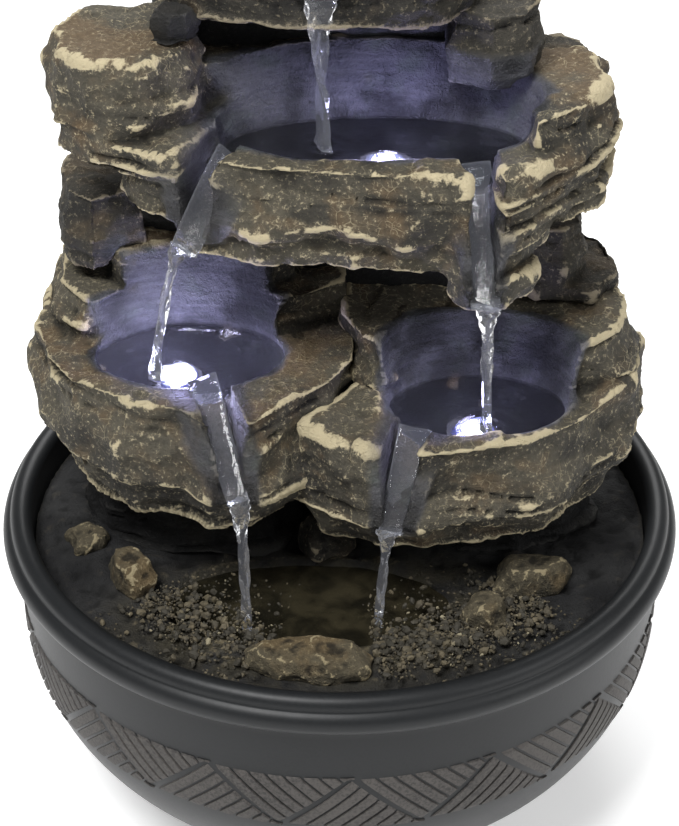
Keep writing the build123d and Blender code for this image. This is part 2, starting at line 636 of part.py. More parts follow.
with BuildPart() as volute_cover:
    add(pump_block(20, 18, *COVER_Y))
    fillet(volute_cover.edges().filter_by(Axis.Y), radius=4)
    with BuildSketch(Plane(origin=(PUMP_X, COVER_Y[0], PUMP_Z), z_dir=BACK)):
        Circle(BUSH_RADIUS)
        with PolarLocations(8.5, 6):
            Circle(2.6)
    extrude(amount=COVER_Y[1] - COVER_Y[0], mode=Mode.SUBTRACT)
write(volute_cover.part, "volute_cover")

with BuildPart() as rotor_shaft:
    add(on_axis(WELL_END, COVER_Y[1] - 1 - WELL_END, SHAFT_RADIUS))
write(rotor_shaft.part, "rotor_shaft")

with BuildPart() as shaft_bushes:
    for y_low, length in ((WELL_END, 2.0), (COVER_Y[0], COVER_Y[1] - COVER_Y[0])):
        add(on_axis(y_low, length, BUSH_RADIUS))
    add(on_axis(WELL_END, COVER_Y[1] - 1 - WELL_END, SHAFT_RADIUS), mode=Mode.SUBTRACT)
write(shaft_bushes.part, "shaft_bushes")

with BuildPart() as rotor_magnet:
    add(on_axis(10.4, 22.6, WELL_RADIUS - 0.6))
    add(on_axis(10, 24, SHAFT_RADIUS + RUNNING_GAP), mode=Mode.SUBTRACT)
write(rotor_magnet.part, "rotor_magnet")

BLADES = 6
with BuildPart() as impeller:
    add(on_axis(33.0, 8.0, 4.5))
    add(on_axis(38.6, 1.6, 12.5))
    add(on_axis(40.2, 8.3, 4.0))
    with BuildSketch(Plane(origin=(PUMP_X, 40.2, PUMP_Z), z_dir=BACK)):
        with PolarLocations(8.0, BLADES):
            Rectangle(9.0, 1.4)
    extrude(amount=7.0)
    add(on_axis(32.5, 18, SHAFT_RADIUS + RUNNING_GAP), mode=Mode.SUBTRACT)
write(impeller.part, "impeller")

SLOT_PITCH = 5.0
with BuildPart() as intake_strainer:
    add(pump_block(15, 15, *STRAINER_Y))
    fillet(intake_strainer.edges().filter_by(Axis.Y), radius=3)
    add(pump_block(13.5, 13.5, STRAINER_Y[0], STRAINER_Y[1] - 1.5), mode=Mode.SUBTRACT)
    with BuildSketch(Plane(origin=(PUMP_X, STRAINER_Y[1], PUMP_Z), x_dir=(1, 0, 0), z_dir=FRONT)):
        with Locations((0, 5)):
            with GridLocations(SLOT_PITCH, 1, 5, 1):
                SlotOverall(11, 2.2, rotation=90)
        with Locations((0, -7)):
            with GridLocations(SLOT_PITCH, 1, 5, 1):
                Rectangle(2.2, 5)
    extrude(amount=2, mode=Mode.SUBTRACT)
write(intake_strainer.part, "intake_strainer")

# The regulator bar slides across the lower row of intake slots.
BAR_BACK = STRAINER_Y[1] + 1.2
TAB_BACK = BAR_BACK + 2.0
with BuildPart() as flow_slider:
    add(block((PUMP_X - 10, STRAINER_Y[1], PUMP_Z - 10.5), (PUMP_X + 6, BAR_BACK, PUMP_Z - 3.5)))
    add(block((PUMP_X - 3, BAR_BACK, PUMP_Z - 9.5), (PUMP_X - 1, TAB_BACK, PUMP_Z - 4.5)))
write(flow_slider.part, "flow_slider")

CUP_TOP = PUMP_Z - BODY_HALF_HEIGHT
with BuildPart() as suction_cups:
    for y in (10.0, 30.0):
        for x in (PUMP_X - 14, PUMP_X + 14):
            with BuildSketch(Plane(origin=(x, y, 0), x_dir=(1, 0, 0), z_dir=FRONT)):
                Polygon(
                    (0, RESERVOIR_FLOOR),
                    (6.0, RESERVOIR_FLOOR),
                    (5.6, RESERVOIR_FLOOR + 0.8),
                    (2.4, RESERVOIR_FLOOR + 2.2),
                    (3.2, CUP_TOP),
                    (0, CUP_TOP),
                    align=None,
                )
            revolve(axis=Axis((x, y, 0), (0, 0, 1)))
write(suction_cups.part, "suction_cups")
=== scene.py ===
# %% [markdown]
# # A tabletop fountain in Blender
# The fountain is a satin black bowl with a woven band, and a tower of layered rock with four small pools
# that spill into each other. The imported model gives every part's true size and place. This script adds
# what the eye sees: broken rock, paint, water, light and a camera.

# %% Load the frame
import json
import math

import bpy
import numpy as np
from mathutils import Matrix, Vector


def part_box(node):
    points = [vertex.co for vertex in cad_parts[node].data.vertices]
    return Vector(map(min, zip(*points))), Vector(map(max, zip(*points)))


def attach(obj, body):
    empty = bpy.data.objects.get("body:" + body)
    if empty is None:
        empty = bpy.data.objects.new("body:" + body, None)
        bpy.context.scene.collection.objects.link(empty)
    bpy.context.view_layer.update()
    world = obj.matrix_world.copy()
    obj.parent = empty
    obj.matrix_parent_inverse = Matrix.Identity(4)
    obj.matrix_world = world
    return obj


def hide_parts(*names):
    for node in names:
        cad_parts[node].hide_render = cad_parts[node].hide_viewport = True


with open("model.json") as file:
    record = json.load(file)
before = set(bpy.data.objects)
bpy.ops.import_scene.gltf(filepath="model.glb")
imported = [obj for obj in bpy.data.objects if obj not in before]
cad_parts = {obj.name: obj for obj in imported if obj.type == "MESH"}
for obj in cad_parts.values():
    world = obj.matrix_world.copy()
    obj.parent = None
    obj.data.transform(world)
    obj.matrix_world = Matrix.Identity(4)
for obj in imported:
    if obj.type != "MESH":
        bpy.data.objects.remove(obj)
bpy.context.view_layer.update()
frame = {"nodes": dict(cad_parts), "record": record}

nodes = frame["nodes"]
MM = 0.001

# %% [markdown]
# Before any modelling, a few helpers. An operator in Blender acts on whatever is selected, so the first
# one selects a single piece and nothing else. Others move points in and out of numpy, where a whole rock
# can be shaped at once.


# %% Helpers for selecting and for points
def pick(piece):
    """Makes this piece the only one selected."""
    bpy.ops.object.select_all(action="DESELECT")
    piece.select_set(True)
    bpy.context.view_layer.objects.active = piece


def read_points(piece):
    """The piece's points, in millimetres."""
    flat = np.empty(len(piece.data.vertices) * 3)
    piece.data.vertices.foreach_get("co", flat)
    return flat.reshape(-1, 3) / MM


def write_points(piece, points):
    piece.data.vertices.foreach_set("co", (points * MM).ravel())
    piece.data.update()


def read_normals(piece):
    flat = np.empty(len(piece.data.vertices) * 3)
    piece.data.vertices.foreach_get("normal", flat)
    return flat.reshape(-1, 3)


def paint(piece, name, values):
    """Stores one number for each point, which a material can read by name."""
    attribute = piece.data.attributes.new(name, "FLOAT", "POINT")
    attribute.data.foreach_set("value", np.asarray(values, dtype=np.float32))


def mesh_piece(name, points, faces):
    """A new piece from points in millimetres."""
    mesh = bpy.data.meshes.new(name)
    mesh.from_pydata([tuple(point) for point in np.asarray(points) * MM], [], [tuple(f) for f in faces])
    piece = bpy.data.objects.new(name, mesh)
    bpy.context.scene.collection.objects.link(piece)
    return piece


def apply_modifier(piece, kind, **settings):
    """Adds a modifier, sets it up and applies it."""
    pick(piece)
    modifier = piece.modifiers.new(kind.lower(), kind)
    for key, value in settings.items():
        setattr(modifier, key, value)
    bpy.ops.object.modifier_apply(modifier=modifier.name)


def edit(piece, *steps):
    """Runs mesh operators, each given with its settings, on the whole of the piece."""
    pick(piece)
    bpy.ops.object.mode_set(mode="EDIT")
    for operator, settings in steps:
        bpy.ops.mesh.select_all(action="SELECT")
        operator(**settings)
    bpy.ops.object.mode_set(mode="OBJECT")


def smooth(piece):
    pick(piece)
    bpy.ops.object.shade_smooth()


def add_shape(operator, **settings):
    """Adds a simple shape, with nothing else selected."""
    bpy.ops.object.select_all(action="DESELECT")
    operator(**settings)
    return bpy.context.object


def take_shape(operator, **settings):
    """The points and faces of a simple shape, which is then removed."""
    piece = add_shape(operator, **settings)
    points = np.array([tuple(vertex.co) for vertex in piece.data.vertices])
    faces = [tuple(face.vertices) for face in piece.data.polygons]
    bpy.data.objects.remove(piece)
    return points, faces


# %% [markdown]
# Rock needs randomness that is the same on every run. A whole-number cell is turned into a number by
# mixing its bits, and smooth noise blends the numbers at a cell's eight corners. A second kind gives each
# cell one loose point and measures how far the nearest point is: that makes scoops with crisp ridges.


# %% Noise
def cell_number(cell, seed):
    """A repeatable number from 0 to 1 for each whole-number cell."""
    x, y, z = (cell[:, axis].astype(np.int64).astype(np.uint32) for axis in range(3))
    mixed = (x * np.uint32(73856093)) ^ (y * np.uint32(19349663)) ^ (z * np.uint32(83492791))
    mixed = (mixed ^ np.uint32((seed * 40503 + 977) % 2**32)) * np.uint32(2654435761)
    mixed = (mixed ^ (mixed >> np.uint32(15))) * np.uint32(2246822519)
    mixed = (mixed ^ (mixed >> np.uint32(13))) * np.uint32(3266489917)
    return (mixed ^ (mixed >> np.uint32(16))).astype(np.float64) / 2**32


def noise(points, size, seed):
    """Smooth noise from -1 to 1, with lumps of about this size in millimetres."""
    scaled = points / size
    corner = np.floor(scaled)
    part = scaled - corner
    part = part * part * (3 - 2 * part)
    total = np.zeros(len(points))
    for step in np.ndindex(2, 2, 2):
        weight = np.ones(len(points))
        for axis in range(3):
            weight *= part[:, axis] if step[axis] else 1 - part[:, axis]
        total += weight * cell_number(corner + np.array(step), seed)
    return 2 * total - 1


def layered_noise(points, size, seed, layers=3):
    """Noise with finer noise added on top, each half the size and half the strength."""
    return sum(noise(points, size / 2**layer, seed + layer) / 2**layer for layer in range(layers))


def chipped(points, size, seed):
    """Shallow scoops that meet in crisp ridges, as on split stone: 0 in a scoop, about 1 on a ridge."""
    home = np.floor(points / size)
    nearest = np.full(len(points), 1e9)
    for step in np.ndindex(3, 3, 3):
        cell = home + np.array(step) - 1
        jitter = np.stack([cell_number(cell, seed + 11 * axis) for axis in range(3)], 1)
        lift = 0.25 * cell_number(cell, seed + 99)
        offset = points / size - (cell + jitter)
        nearest = np.minimum(nearest, (offset**2).sum(1) + lift)
    return nearest


CHIP_MEAN = 0.42  # the middle value of chipped()


def ramp(values, low, high):
    """0 below low, 1 above high, and a smooth climb between."""
    part = np.clip((values - low) / (high - low), 0, 1)
    return part * part * (3 - 2 * part)


# %% [markdown]
# Shader maths reads best as plain sums. A small class wraps an output socket, so that `a * b + 1` adds
# the Math nodes by itself, and one method adds any other node. The values that never change over a
# surface are set straight on the shader.


# %% A small language for materials
class Wire:
    """An output socket that can be used in Python sums."""

    def __init__(self, tree, socket):
        self.tree, self.socket = tree, socket

    def math(self, operation, other, swap=False):
        node = self.tree.nodes.new("ShaderNodeMath")
        node.operation = operation
        values = [self, other] if not swap else [other, self]
        for index, value in enumerate(values):
            if isinstance(value, Wire):
                self.tree.links.new(value.socket, node.inputs[index])
            else:
                node.inputs[index].default_value = value
        return Wire(self.tree, node.outputs[0])

    def __add__(self, other):
        return self.math("ADD", other)

    def __sub__(self, other):
        return self.math("SUBTRACT", other)

    def __mul__(self, other):
        return self.math("MULTIPLY", other)

    def __rsub__(self, other):
        return self.math("SUBTRACT", other, swap=True)

    __radd__ = __add__

    def __truediv__(self, other):
        return self.math("DIVIDE", other)

    def step(self, low, high):
        """0 below low, 1 above high."""
        node = self.tree.nodes.new("ShaderNodeMapRange")
        node.interpolation_type = "SMOOTHSTEP"
        self.tree.links.new(self.socket, node.inputs["Value"])
        node.inputs["From Min"].default_value = low
        node.inputs["From Max"].default_value = high
        return Wire(self.tree, node.outputs["Result"])


class Finish:
    """A material that is built up from nodes."""

    def __init__(self, name, **constants):
        self.material = bpy.data.materials.new(name)
        self.material.use_nodes = True
        self.tree = self.material.node_tree
        self.shader = self.tree.nodes["Principled BSDF"]
        for key, value in constants.items():
            self.shader.inputs[key.replace("_", " ")].default_value = value
        self.place = self.add("ShaderNodeTexCoord", out="Object")

    def add(self, kind, out=0, settings=None, **inputs):
        """Any node: its settings first, then the values or wires of its sockets."""
        node = self.tree.nodes.new(kind)
        for key, value in (settings or {}).items():
            setattr(node, key, value)
        for key, value in inputs.items():
            socket = node.inputs[int(key[1:])] if key[1:].isdigit() else node.inputs[key.replace("_", " ")]
            if isinstance(value, Wire):
                self.tree.links.new(value.socket, socket)
            else:
                socket.default_value = value
        return Wire(self.tree, node.outputs[out])

    def noise(self, size_mm, detail=3.0, rough=0.55, squash=1.0, warp=0.0):
        """Noise from 0 to 1 with lumps of this size. squash above 1 flattens them into layers."""
        scale = (1 / size_mm / MM, 1 / size_mm / MM, squash / size_mm / MM)
        place = self.add("ShaderNodeMapping", Vector=self.place, Scale=scale)
        wires = {"Vector": place, "Scale": 1.0, "Detail": detail, "Roughness": rough, "Distortion": warp}
        return self.add("ShaderNodeTexNoise", **wires)

    def veins(self, size_mm, thin, wobble_mm):
        """Thin lines between cracked cells, 1 on a line."""
        coarse = 0.35 / size_mm / MM
        wobble = self.add("ShaderNodeTexNoise", out="Color", Vector=self.place, Scale=coarse, Detail=3.0)
        shift = self.add(
            "ShaderNodeVectorMath",
            settings={"operation": "MULTIPLY_ADD"},
            _0=wobble,
            _1=(2 * wobble_mm * MM,) * 3,
            _2=self.place,
        )
        edge = self.add(
            "ShaderNodeTexVoronoi",
            out="Distance",
            settings={"feature": "DISTANCE_TO_EDGE"},
            Vector=shift,
            Scale=1 / size_mm / MM,
        )
        return 1 - edge.step(thin * 0.25, thin)

    def stored(self, name):
        """A number that was painted on the points."""
        return self.add("ShaderNodeAttribute", out="Fac", settings={"attribute_name": name})

    def mix(self, factor, first, second):
        """Colour first at 0 and second at 1."""
        return self.add(
            "ShaderNodeMix",
            out=2,
            settings={"data_type": "RGBA"},
            _0=factor,
            _6=first if isinstance(first, Wire) else (*first, 1.0),
            _7=second if isinstance(second, Wire) else (*second, 1.0),
        )

    def scale(self, colour, amount):
        """The colour made darker or lighter by a number."""
        return self.add("ShaderNodeVectorMath", settings={"operation": "SCALE"}, _0=colour, Scale=amount)

    def bump(self, height, depth_mm, strength=1.0, over=None):
        """A bump of this depth, on top of another if given."""
        inputs = {"Height": height, "Strength": strength, "Distance": depth_mm * MM}
        if over is not None:
            inputs["Normal"] = over
        return self.add("ShaderNodeBump", **inputs)

    def use(self, **wires):
        for key, value in wires.items():
            self.tree.links.new(value.socket, self.shader.inputs[key.replace("_", " ")])
        return self.material


def dress(piece, material):
    """Gives the piece this one material."""
    piece.data.materials.clear()
    piece.data.materials.append(material)


def settle(piece, material, body, slot, *replaced):
    """Dresses a piece, fastens it to its body, and hides the nodes that it stands for. slot is not used."""
    dress(piece, material)
    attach(piece, body)
    if replaced:
        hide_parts(*replaced)


# %% [markdown]
# The pools come next, because rock is smooth inside a pool and rough outside it. Each pool is an oval
# that widens upwards. The water in it lies at one level, and it leaves by a spout that narrows to a tip.

# %% Pools and spouts, in millimetres
# Each oval is (height, x, y, half width, half depth).
POOLS = {
    "left": [(153, -46, -14, 20, 12), (165, -46, -14, 28, 19), (178, -46, -14, 31, 21.5), (196, -45, -14, 33, 23)],
    "right": [(143, 42, -28, 19, 12), (155, 42, -27, 27, 18), (164, 42, -24, 28.5, 21), (178, 43, -20, 31, 24)],
    "middle": [(216, 11, 2, 34, 13), (228, 11, 1.5, 45, 21.5), (239, 11, 0.5, 48, 25), (254, 11, 2, 50, 27)],
    "crown": [(280, -6, 28, 14, 9), (291, -6, 28, 22, 15), (300, -6, 28, 24, 17)],
    "ground": [(90, -10, -48, 40, 18), (98, -10, -48, 48, 24)],
}
WATER_LEVEL = {"left": 165.0, "right": 155.0, "middle": 228.5, "crown": 291.0, "ground": 94.5}
# Each spout is (pool end, tip, half width at the pool end, half width at the tip).
SPOUTS = {
    "left": ((-42, -24, 163), (-30, -59, 140), 9.0, 6.0),
    "right": ((23, -36, 153), (15, -58, 128), 8.5, 6.0),
    "middle_left": ((-30, -2, 225), (-46, -30, 209), 11.0, 7.0),
    "middle_right": ((38, -6, 225), (42, -44, 198), 7.0, 5.0),
    "crown": ((-6, 17, 289), (-6, -7, 279), 8.5, 7.5),
}


def oval_at(pool, height):
    """The pool's oval at a height: (x, y, half width, half depth), each an array."""
    table = np.array(POOLS[pool], dtype=float)
    return [np.interp(height, table[:, 0], table[:, column]) for column in range(1, 5)]


def oval_reach(points, pool):
    """How far out each point lies in the pool's oval at its own height: 1 on the edge."""
    x, y, wide, deep = oval_at(pool, points[:, 2])
    return np.hypot((points[:, 0] - x) / wide, (points[:, 1] - y) / deep)


def beside_spout(points, start, tip):
    """How far down the spout's line each point is, from 0 to 1, and its offset from the line."""
    start = np.array(start, float)
    run = np.array(tip, float) - start
    along = np.clip(((points - start) @ run) / (run @ run), 0, 1)
    return along, points - (start + along[:, None] * run)


def pool_smoothness(points):
    """1 on the inside of a pool or spout, 0 on broken rock."""
    smooth = np.zeros(len(points))
    ragged = 0.07 * noise(points, 9, 900) + 0.04 * noise(points, 4, 901)
    for pool, ovals in POOLS.items():
        inside = 1 - ramp(oval_reach(points, pool) + ragged, 1.05, 1.11)
        inside *= ramp(points[:, 2], ovals[0][0] - 3, ovals[0][0] - 1)
        inside *= 1 - ramp(points[:, 2], ovals[-1][0] + 1, ovals[-1][0] + 4)
        smooth = np.maximum(smooth, inside)
    for start, tip, wide, narrow in SPOUTS.values():
        along, away = beside_spout(points, start, tip)
        width = wide + (narrow - wide) * along
        across = np.abs(away[:, 0]) / (width + 0.25 * np.maximum(away[:, 2], 0))
        inside = (1 - ramp(across, 0.85, 1.15)) * ramp(away[:, 2], -3, -1.5) * (1 - ramp(away[:, 2], 10, 22))
        smooth = np.maximum(smooth, 0.85 * inside * (1 - ramp(np.abs(away[:, 1]), 8, 14)))
    return smooth


def under_water(points):
    """1 below a pool's water, 0 above it, with a soft line between."""
    under = np.zeros(len(points))
    for pool, level in WATER_LEVEL.items():
        inside = 1 - ramp(oval_reach(points, pool), 1.1, 1.3)
        near = (points[:, 2] > POOLS[pool][0][0] - 4) & (points[:, 2] < level + 4)
        under = np.maximum(under, near * inside * (1 - ramp(points[:, 2], level - 0.6, level + 1.2)))
    for start, tip, _, _ in SPOUTS.values():
        away = beside_spout(points, start, tip)[1]
        wet = (1 - ramp(np.abs(away[:, 0]), 5.5, 8.0)) * (1 - ramp(away[:, 2], 3.0, 7.0))
        under = np.maximum(under, 0.8 * wet * (np.abs(away[:, 1]) < 10))
    return under


print("pools:", {name: round(level, 1) for name, level in WATER_LEVEL.items()})

# %% [markdown]
# The rock is cast resin that copies split stone: broad chiselled flats that meet in crisp ridges, a few
# broken steps along its layers, and grit all over. A voxel remesh gives each plain block of the model an
# even skin of small faces, and then the points move along their normals. What sticks out or lies deep
# afterwards is measured and kept, because paint wears off ridges, and hollows get painted shade.


# %% Turning a plain block into broken rock
def neighbour_mean(points, edges, times):
    """Every point moved to the middle of its neighbours, several times over."""
    count = np.bincount(edges.ravel(), minlength=len(points)).astype(float)[:, None]
    for _ in range(times):
        total = np.zeros_like(points)
        for axis in range(3):
            column = points[:, axis]
            total[:, axis] = np.bincount(edges[:, 0], weights=column[edges[:, 1]], minlength=len(points))
            total[:, axis] += np.bincount(edges[:, 1], weights=column[edges[:, 0]], minlength=len(points))
        points = total / np.maximum(count, 1)
    return points


def read_edges(piece):
    flat = np.empty(len(piece.data.edges) * 2, dtype=np.int32)
    piece.data.edges.foreach_get("vertices", flat)
    return flat.reshape(-1, 2)


def relief(piece, rounds):
    """How far each point stands out from the smoothed surface, in millimetres."""
    points, edges = read_points(piece), read_edges(piece)
    return ((points - neighbour_mean(points, edges, rounds)) * read_normals(piece)).sum(1)


def fresh_copy(node, name, grain):
    """A copy of a CAD node with an even skin of small faces."""
    piece = nodes[node].copy()
    piece.data = nodes[node].data.copy()
    piece.name = name
    piece.parent = None
    for key in list(piece.keys()):
        del piece[key]
    bpy.context.scene.collection.objects.link(piece)
    edit(piece, (bpy.ops.mesh.remove_doubles, {"threshold": 0.00001}))
    apply_modifier(piece, "REMESH", mode="VOXEL", voxel_size=grain * MM)
    return piece


def split_layers(height):
    """The stone's layer at each height, and the place in it from 0 at its foot to 1 at its top."""
    uneven = height / 10.5 + 0.5 * np.sin(height * 0.23) + 0.2 * np.sin(height * 0.61 + 2)
    layer = np.floor(uneven)
    return layer, uneven - layer


def store_wear(piece, pool):
    """Paints how worn each point is, how deep it lies (for painted shade), how much it faces up (for painted light)
    and how wet it is.
    """
    fine, wide = relief(piece, 3), relief(piece, 14)
    edge = fine + 0.25 * wide
    paint(piece, "ridge", ramp(edge, *np.quantile(edge, (0.80, 0.97))))
    deep = -wide - 0.5 * fine
    # Points that lie deep are kept for painted shade: the paint darkens them.
    paint(piece, "hollow_shade", ramp(deep, *np.quantile(deep, (0.72, 0.985))))
    paint(piece, "pool", pool)
    # How much each point faces up, which the paint uses to lighten tops a little as painted light.
    paint(piece, "level", ramp(read_normals(piece)[:, 2], -0.2, 0.8))
    paint(piece, "under", under_water(read_points(piece)))


DRY_ABOVE, DRY_REACH = 18, 11  # a pool's wall is rough from 7 to 29 mm above its water
DEEPEST_CUT, TALLEST_LUMP = 6.0, 4.2


def weather(piece, strength, seed, keep=None):
    """Breaks the piece's skin up into flats and steps. keep tells which points stay put."""
    points = read_points(piece)
    smooth_points = neighbour_mean(points, read_edges(piece), 5)
    normals = read_normals(piece)
    pool = pool_smoothness(points)
    kept = keep(points) if keep else np.zeros(len(points))
    above = [np.abs(points[:, 2] - level - DRY_ABOVE) for level in WATER_LEVEL.values()]
    dry = np.min(above, axis=0) < DRY_REACH
    rough = (1 - np.maximum(pool * np.where(dry, 0.72, 1.0), kept)) * strength
    side = 1 - ramp(np.abs(normals[:, 2]), 0.45, 0.9)

    warp = np.stack([noise(points, 26, seed + 12 + axis) for axis in range(3)], 1) * 2.5
    bent = (points + warp) * (1, 1, 1.35)
    flats = 9.5 * (chipped(bent, 31, seed + 20) - CHIP_MEAN) + 3.6 * (chipped(bent, 13.5, seed + 40) - CHIP_MEAN)
    body = 2.4 * noise(points, 38, seed + 8)
    tilt = 4.5 * noise(points, 60, seed) + 1.6 * noise(points, 18, seed + 3)
    layer, place = split_layers(points[:, 2] + tilt)
    flat = np.stack([points[:, 0], points[:, 1], layer * 41.0], 1)
    ledge = 1.5 * noise(flat, 26, seed + 5) + 0.8 * noise(flat, 9, seed + 6)
    open_crack = ramp(noise(points, 24, seed + 7), -0.25, 0.35)
    crack = open_crack * (np.exp(-((place / 0.09) ** 2)) + 0.5 * np.exp(-(((1 - place) / 0.06) ** 2)))
    plates = 0.5 + 0.5 * layered_noise(points, 30, seed + 30)
    stepped = np.floor(plates * 5) + ramp(plates * 5 - np.floor(plates * 5), 0.0, 0.12)
    grit = 0.34 * layered_noise(points, 4.2, seed + 44, 3) + 0.5 * (chipped(points, 5, seed + 47) - CHIP_MEAN)

    move = side * (0.8 * flats + body + ledge - 1.5 * crack)
    move += (1 - side) * (0.38 * flats + 0.7 * body + 0.85 * (stepped - 2.5))
    move = np.clip(move + grit, -DEEPEST_CUT, TALLEST_LUMP) * rough
    rings = 0.20 * np.sin(points[:, 2] * 2.3 + 1.5 * noise(points, 20, seed + 60)) * side
    soft = 0.8 * noise(points, 16, seed + 61) + 0.25 * noise(points, 5, seed + 62)
    move += pool * (1 - kept) * (rings + soft) * 0.8
    rounded = points + (smooth_points - points) * 0.35 * pool[:, None]
    write_points(piece, rounded + normals * move[:, None])
    smooth(piece)
    store_wear(piece, pool)


# %% [markdown]
# The rock's paint is built as a painter would do it: a dark base, thin washes of olive and ochre, a
# nearly dry brush of cream dragged over the ridges, and a few fine cracks. Hollows are darkened as painted
# shade, and faces that look up are a little lighter as painted light. Inside the pools the resin is bare,
# smooth and grey, with faint rings and a little green, and it turns dark under the water.


# %% Painted rock
def rock_paint(name, dark, olive, ochre, cream, dry_brush=1.0, crackle=1.0):
    """Paint from a dark base to a cream brush. crackle is the strength of the cracks."""
    finish = Finish(name, Specular_IOR_Level=0.35)
    ridge, hollow_shade = finish.stored("ridge"), finish.stored("hollow_shade")
    pool, level, under = finish.stored("pool"), finish.stored("level"), finish.stored("under")
    cloud = finish.noise(21, 4.0)
    stain = finish.noise(28, 4.0, warp=0.6)
    speckle = finish.noise(1.6, 4.0, 0.75)
    grit = finish.noise(0.7, 3.0, 0.7)
    patchy = finish.noise(8, 4.0, 0.65)

    # Faces that look up get more olive and ochre and are made a little lighter: painted light from above.
    wash = finish.mix((cloud + patchy * 0.3 + level * 0.12).step(0.50, 0.82), dark, olive)
    wash = finish.mix((stain + patchy * 0.35 + level * 0.08).step(0.70, 0.92) * 0.8, wash, ochre)
    wash = finish.scale(wash, 0.22 + speckle * 1.15 + level * 0.12)
    lines = finish.veins(3.6, 0.042, 3.5) * (patchy + level * 0.10).step(0.54, 0.70) * crackle
    brushed = (ridge * 1.5 + speckle * 0.9 + grit * 0.5 - 1.15).step(0.15, 0.75)
    flecks = (speckle + grit * 0.4 + ridge * 0.2).step(0.76, 0.92) * 0.7
    pale = (brushed * 0.95).math("MAXIMUM", lines * 0.42).math("MAXIMUM", flecks) * (1 - pool) * dry_brush
    # Hollows are darkened by up to 78 per cent: painted shade.
    coat = finish.scale(finish.mix(pale, wash, cream), 1 - hollow_shade * 0.78)

    bands = finish.noise(9, 4.0, squash=7.0)
    moss = finish.noise(12, 3.0).step(0.50, 0.72) * 0.4
    bare = finish.mix(moss, (0.060, 0.061, 0.070), (0.052, 0.070, 0.050))
    mottle = (bands * 1.2 + speckle * 0.9) * (cloud.step(0.38, 0.62) * 0.95 + 0.30)
    # The pale brush also reaches ridges inside the pools: dry brush, and partly a painted highlight where the pool
    # lights catch the edges.
    bare = finish.mix(brushed * 0.55, finish.scale(bare, mottle), (0.22, 0.21, 0.20))
    bare = finish.mix(under, bare, finish.scale(bare, 0.14))
    coat = finish.mix(pool, coat, bare)

    shine = 0.80 - speckle * 0.12 - pool * 0.42 - under * 0.18
    bumps = finish.bump(speckle * 0.65 + grit * 0.35, 2.4, 1.0)
    bumps = finish.bump(lines, 0.5, 0.8, over=bumps)
    return finish.use(Base_Color=coat, Roughness=shine, Normal=bumps)


slate_coats = (0.036, 0.033, 0.027), (0.100, 0.089, 0.064), (0.150, 0.100, 0.052), (0.56, 0.48, 0.31)
slate_paint = rock_paint("slate_paint", *slate_coats)
shadow_coats = (0.010, 0.010, 0.011), (0.022, 0.022, 0.022), (0.030, 0.028, 0.024), (0.075, 0.073, 0.067)
shadow_paint = rock_paint("shadow_paint", *shadow_coats, 0.5, 0.4)
dusk_coats = (0.018, 0.017, 0.015), (0.050, 0.045, 0.035), (0.085, 0.062, 0.036), (0.34, 0.29, 0.20)
dusk_paint = rock_paint("dusk_paint", *dusk_coats, 0.8, 0.6)
print("painted rock is ready")


# %% [markdown]
# Every block of the tower is weathered in the same way, with its own seed, so that no two look alike. The
# grain is about a millimetre on the rocks in view, and coarser where they are hidden.

# %% The rocks of the tower
FOUNTAIN = "fountain"
ROCKS = {
    # node: (grain, strength, seed, paint, slot)
    "left_basin_tier": (1.05, 1.0, 3, slate_paint, "weathered_rock"),
    "right_basin_tier": (1.05, 1.0, 17, slate_paint, "weathered_rock"),
    "middle_basin_tier": (1.15, 1.0, 31, slate_paint, "weathered_rock"),
    "crown_basin_tier": (1.1, 0.9, 47, dusk_paint, "weathered_rock"),
    "left_shoulder_rock": (1.1, 1.0, 59, dusk_paint, "weathered_rock"),
    "right_shoulder_rock": (1.1, 1.0, 61, dusk_paint, "weathered_rock"),
    "right_back_slab": (1.1, 1.0, 73, dusk_paint, "weathered_rock"),
    "right_boulder": (1.1, 1.0, 89, dusk_paint, "weathered_rock"),
    "left_knob_stone": (0.9, 0.6, 97, shadow_paint, "weathered_rock"),
    "left_skirt_rock": (1.2, 1.0, 103, shadow_paint, "dark_rock"),
    "right_skirt_rock": (1.2, 1.0, 107, shadow_paint, "dark_rock"),
}
for node, (grain, strength, seed, coat, slot) in ROCKS.items():
    rock = fresh_copy(node, "broken_" + node, grain)
    weather(rock, strength, seed)
    settle(rock, coat, FOUNTAIN, slot, node)
    print(node, len(rock.data.polygons), "faces")

# %% [markdown]
# The hollow column behind the basins carries the pump hatch. Its skin is broken like the rest, but it
# stays flat round the hatch, so that the cover still slides off. The cover itself is rock too, with calm
# edges and a finger grip.

# %% The column and its rear cover
cover_low, cover_high = (np.array(corner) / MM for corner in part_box("rear_cover"))
MARGIN = 5.0


def near_hatch(points):
    """1 on the column where the cover lies and slides, and on the front that the basins hide."""
    sideways = 1 - ramp(np.abs(points[:, 0]), cover_high[0] + 1, cover_high[0] + MARGIN)
    upright = ramp(points[:, 2], cover_low[2] - MARGIN, cover_low[2] - 1)
    upright *= 1 - ramp(points[:, 2], cover_high[2] + 1, cover_high[2] + MARGIN)
    hatch = sideways * upright * ramp(points[:, 1], 60, 66)
    return np.maximum(hatch, 1 - ramp(points[:, 1], 36, 46))


def cover_edges(points):
    """1 on the cover's inner face and border, 0 in the middle of its outer face."""
    outer = ramp(points[:, 1], cover_low[1] + 9.2, cover_low[1] + 9.8)
    margin_x = np.minimum(points[:, 0] - cover_low[0], cover_high[0] - points[:, 0])
    margin_z = np.minimum(points[:, 2] - cover_low[2], cover_high[2] - points[:, 2])
    return 1 - outer * ramp(np.minimum(margin_x, margin_z), 0.6, 4.0)


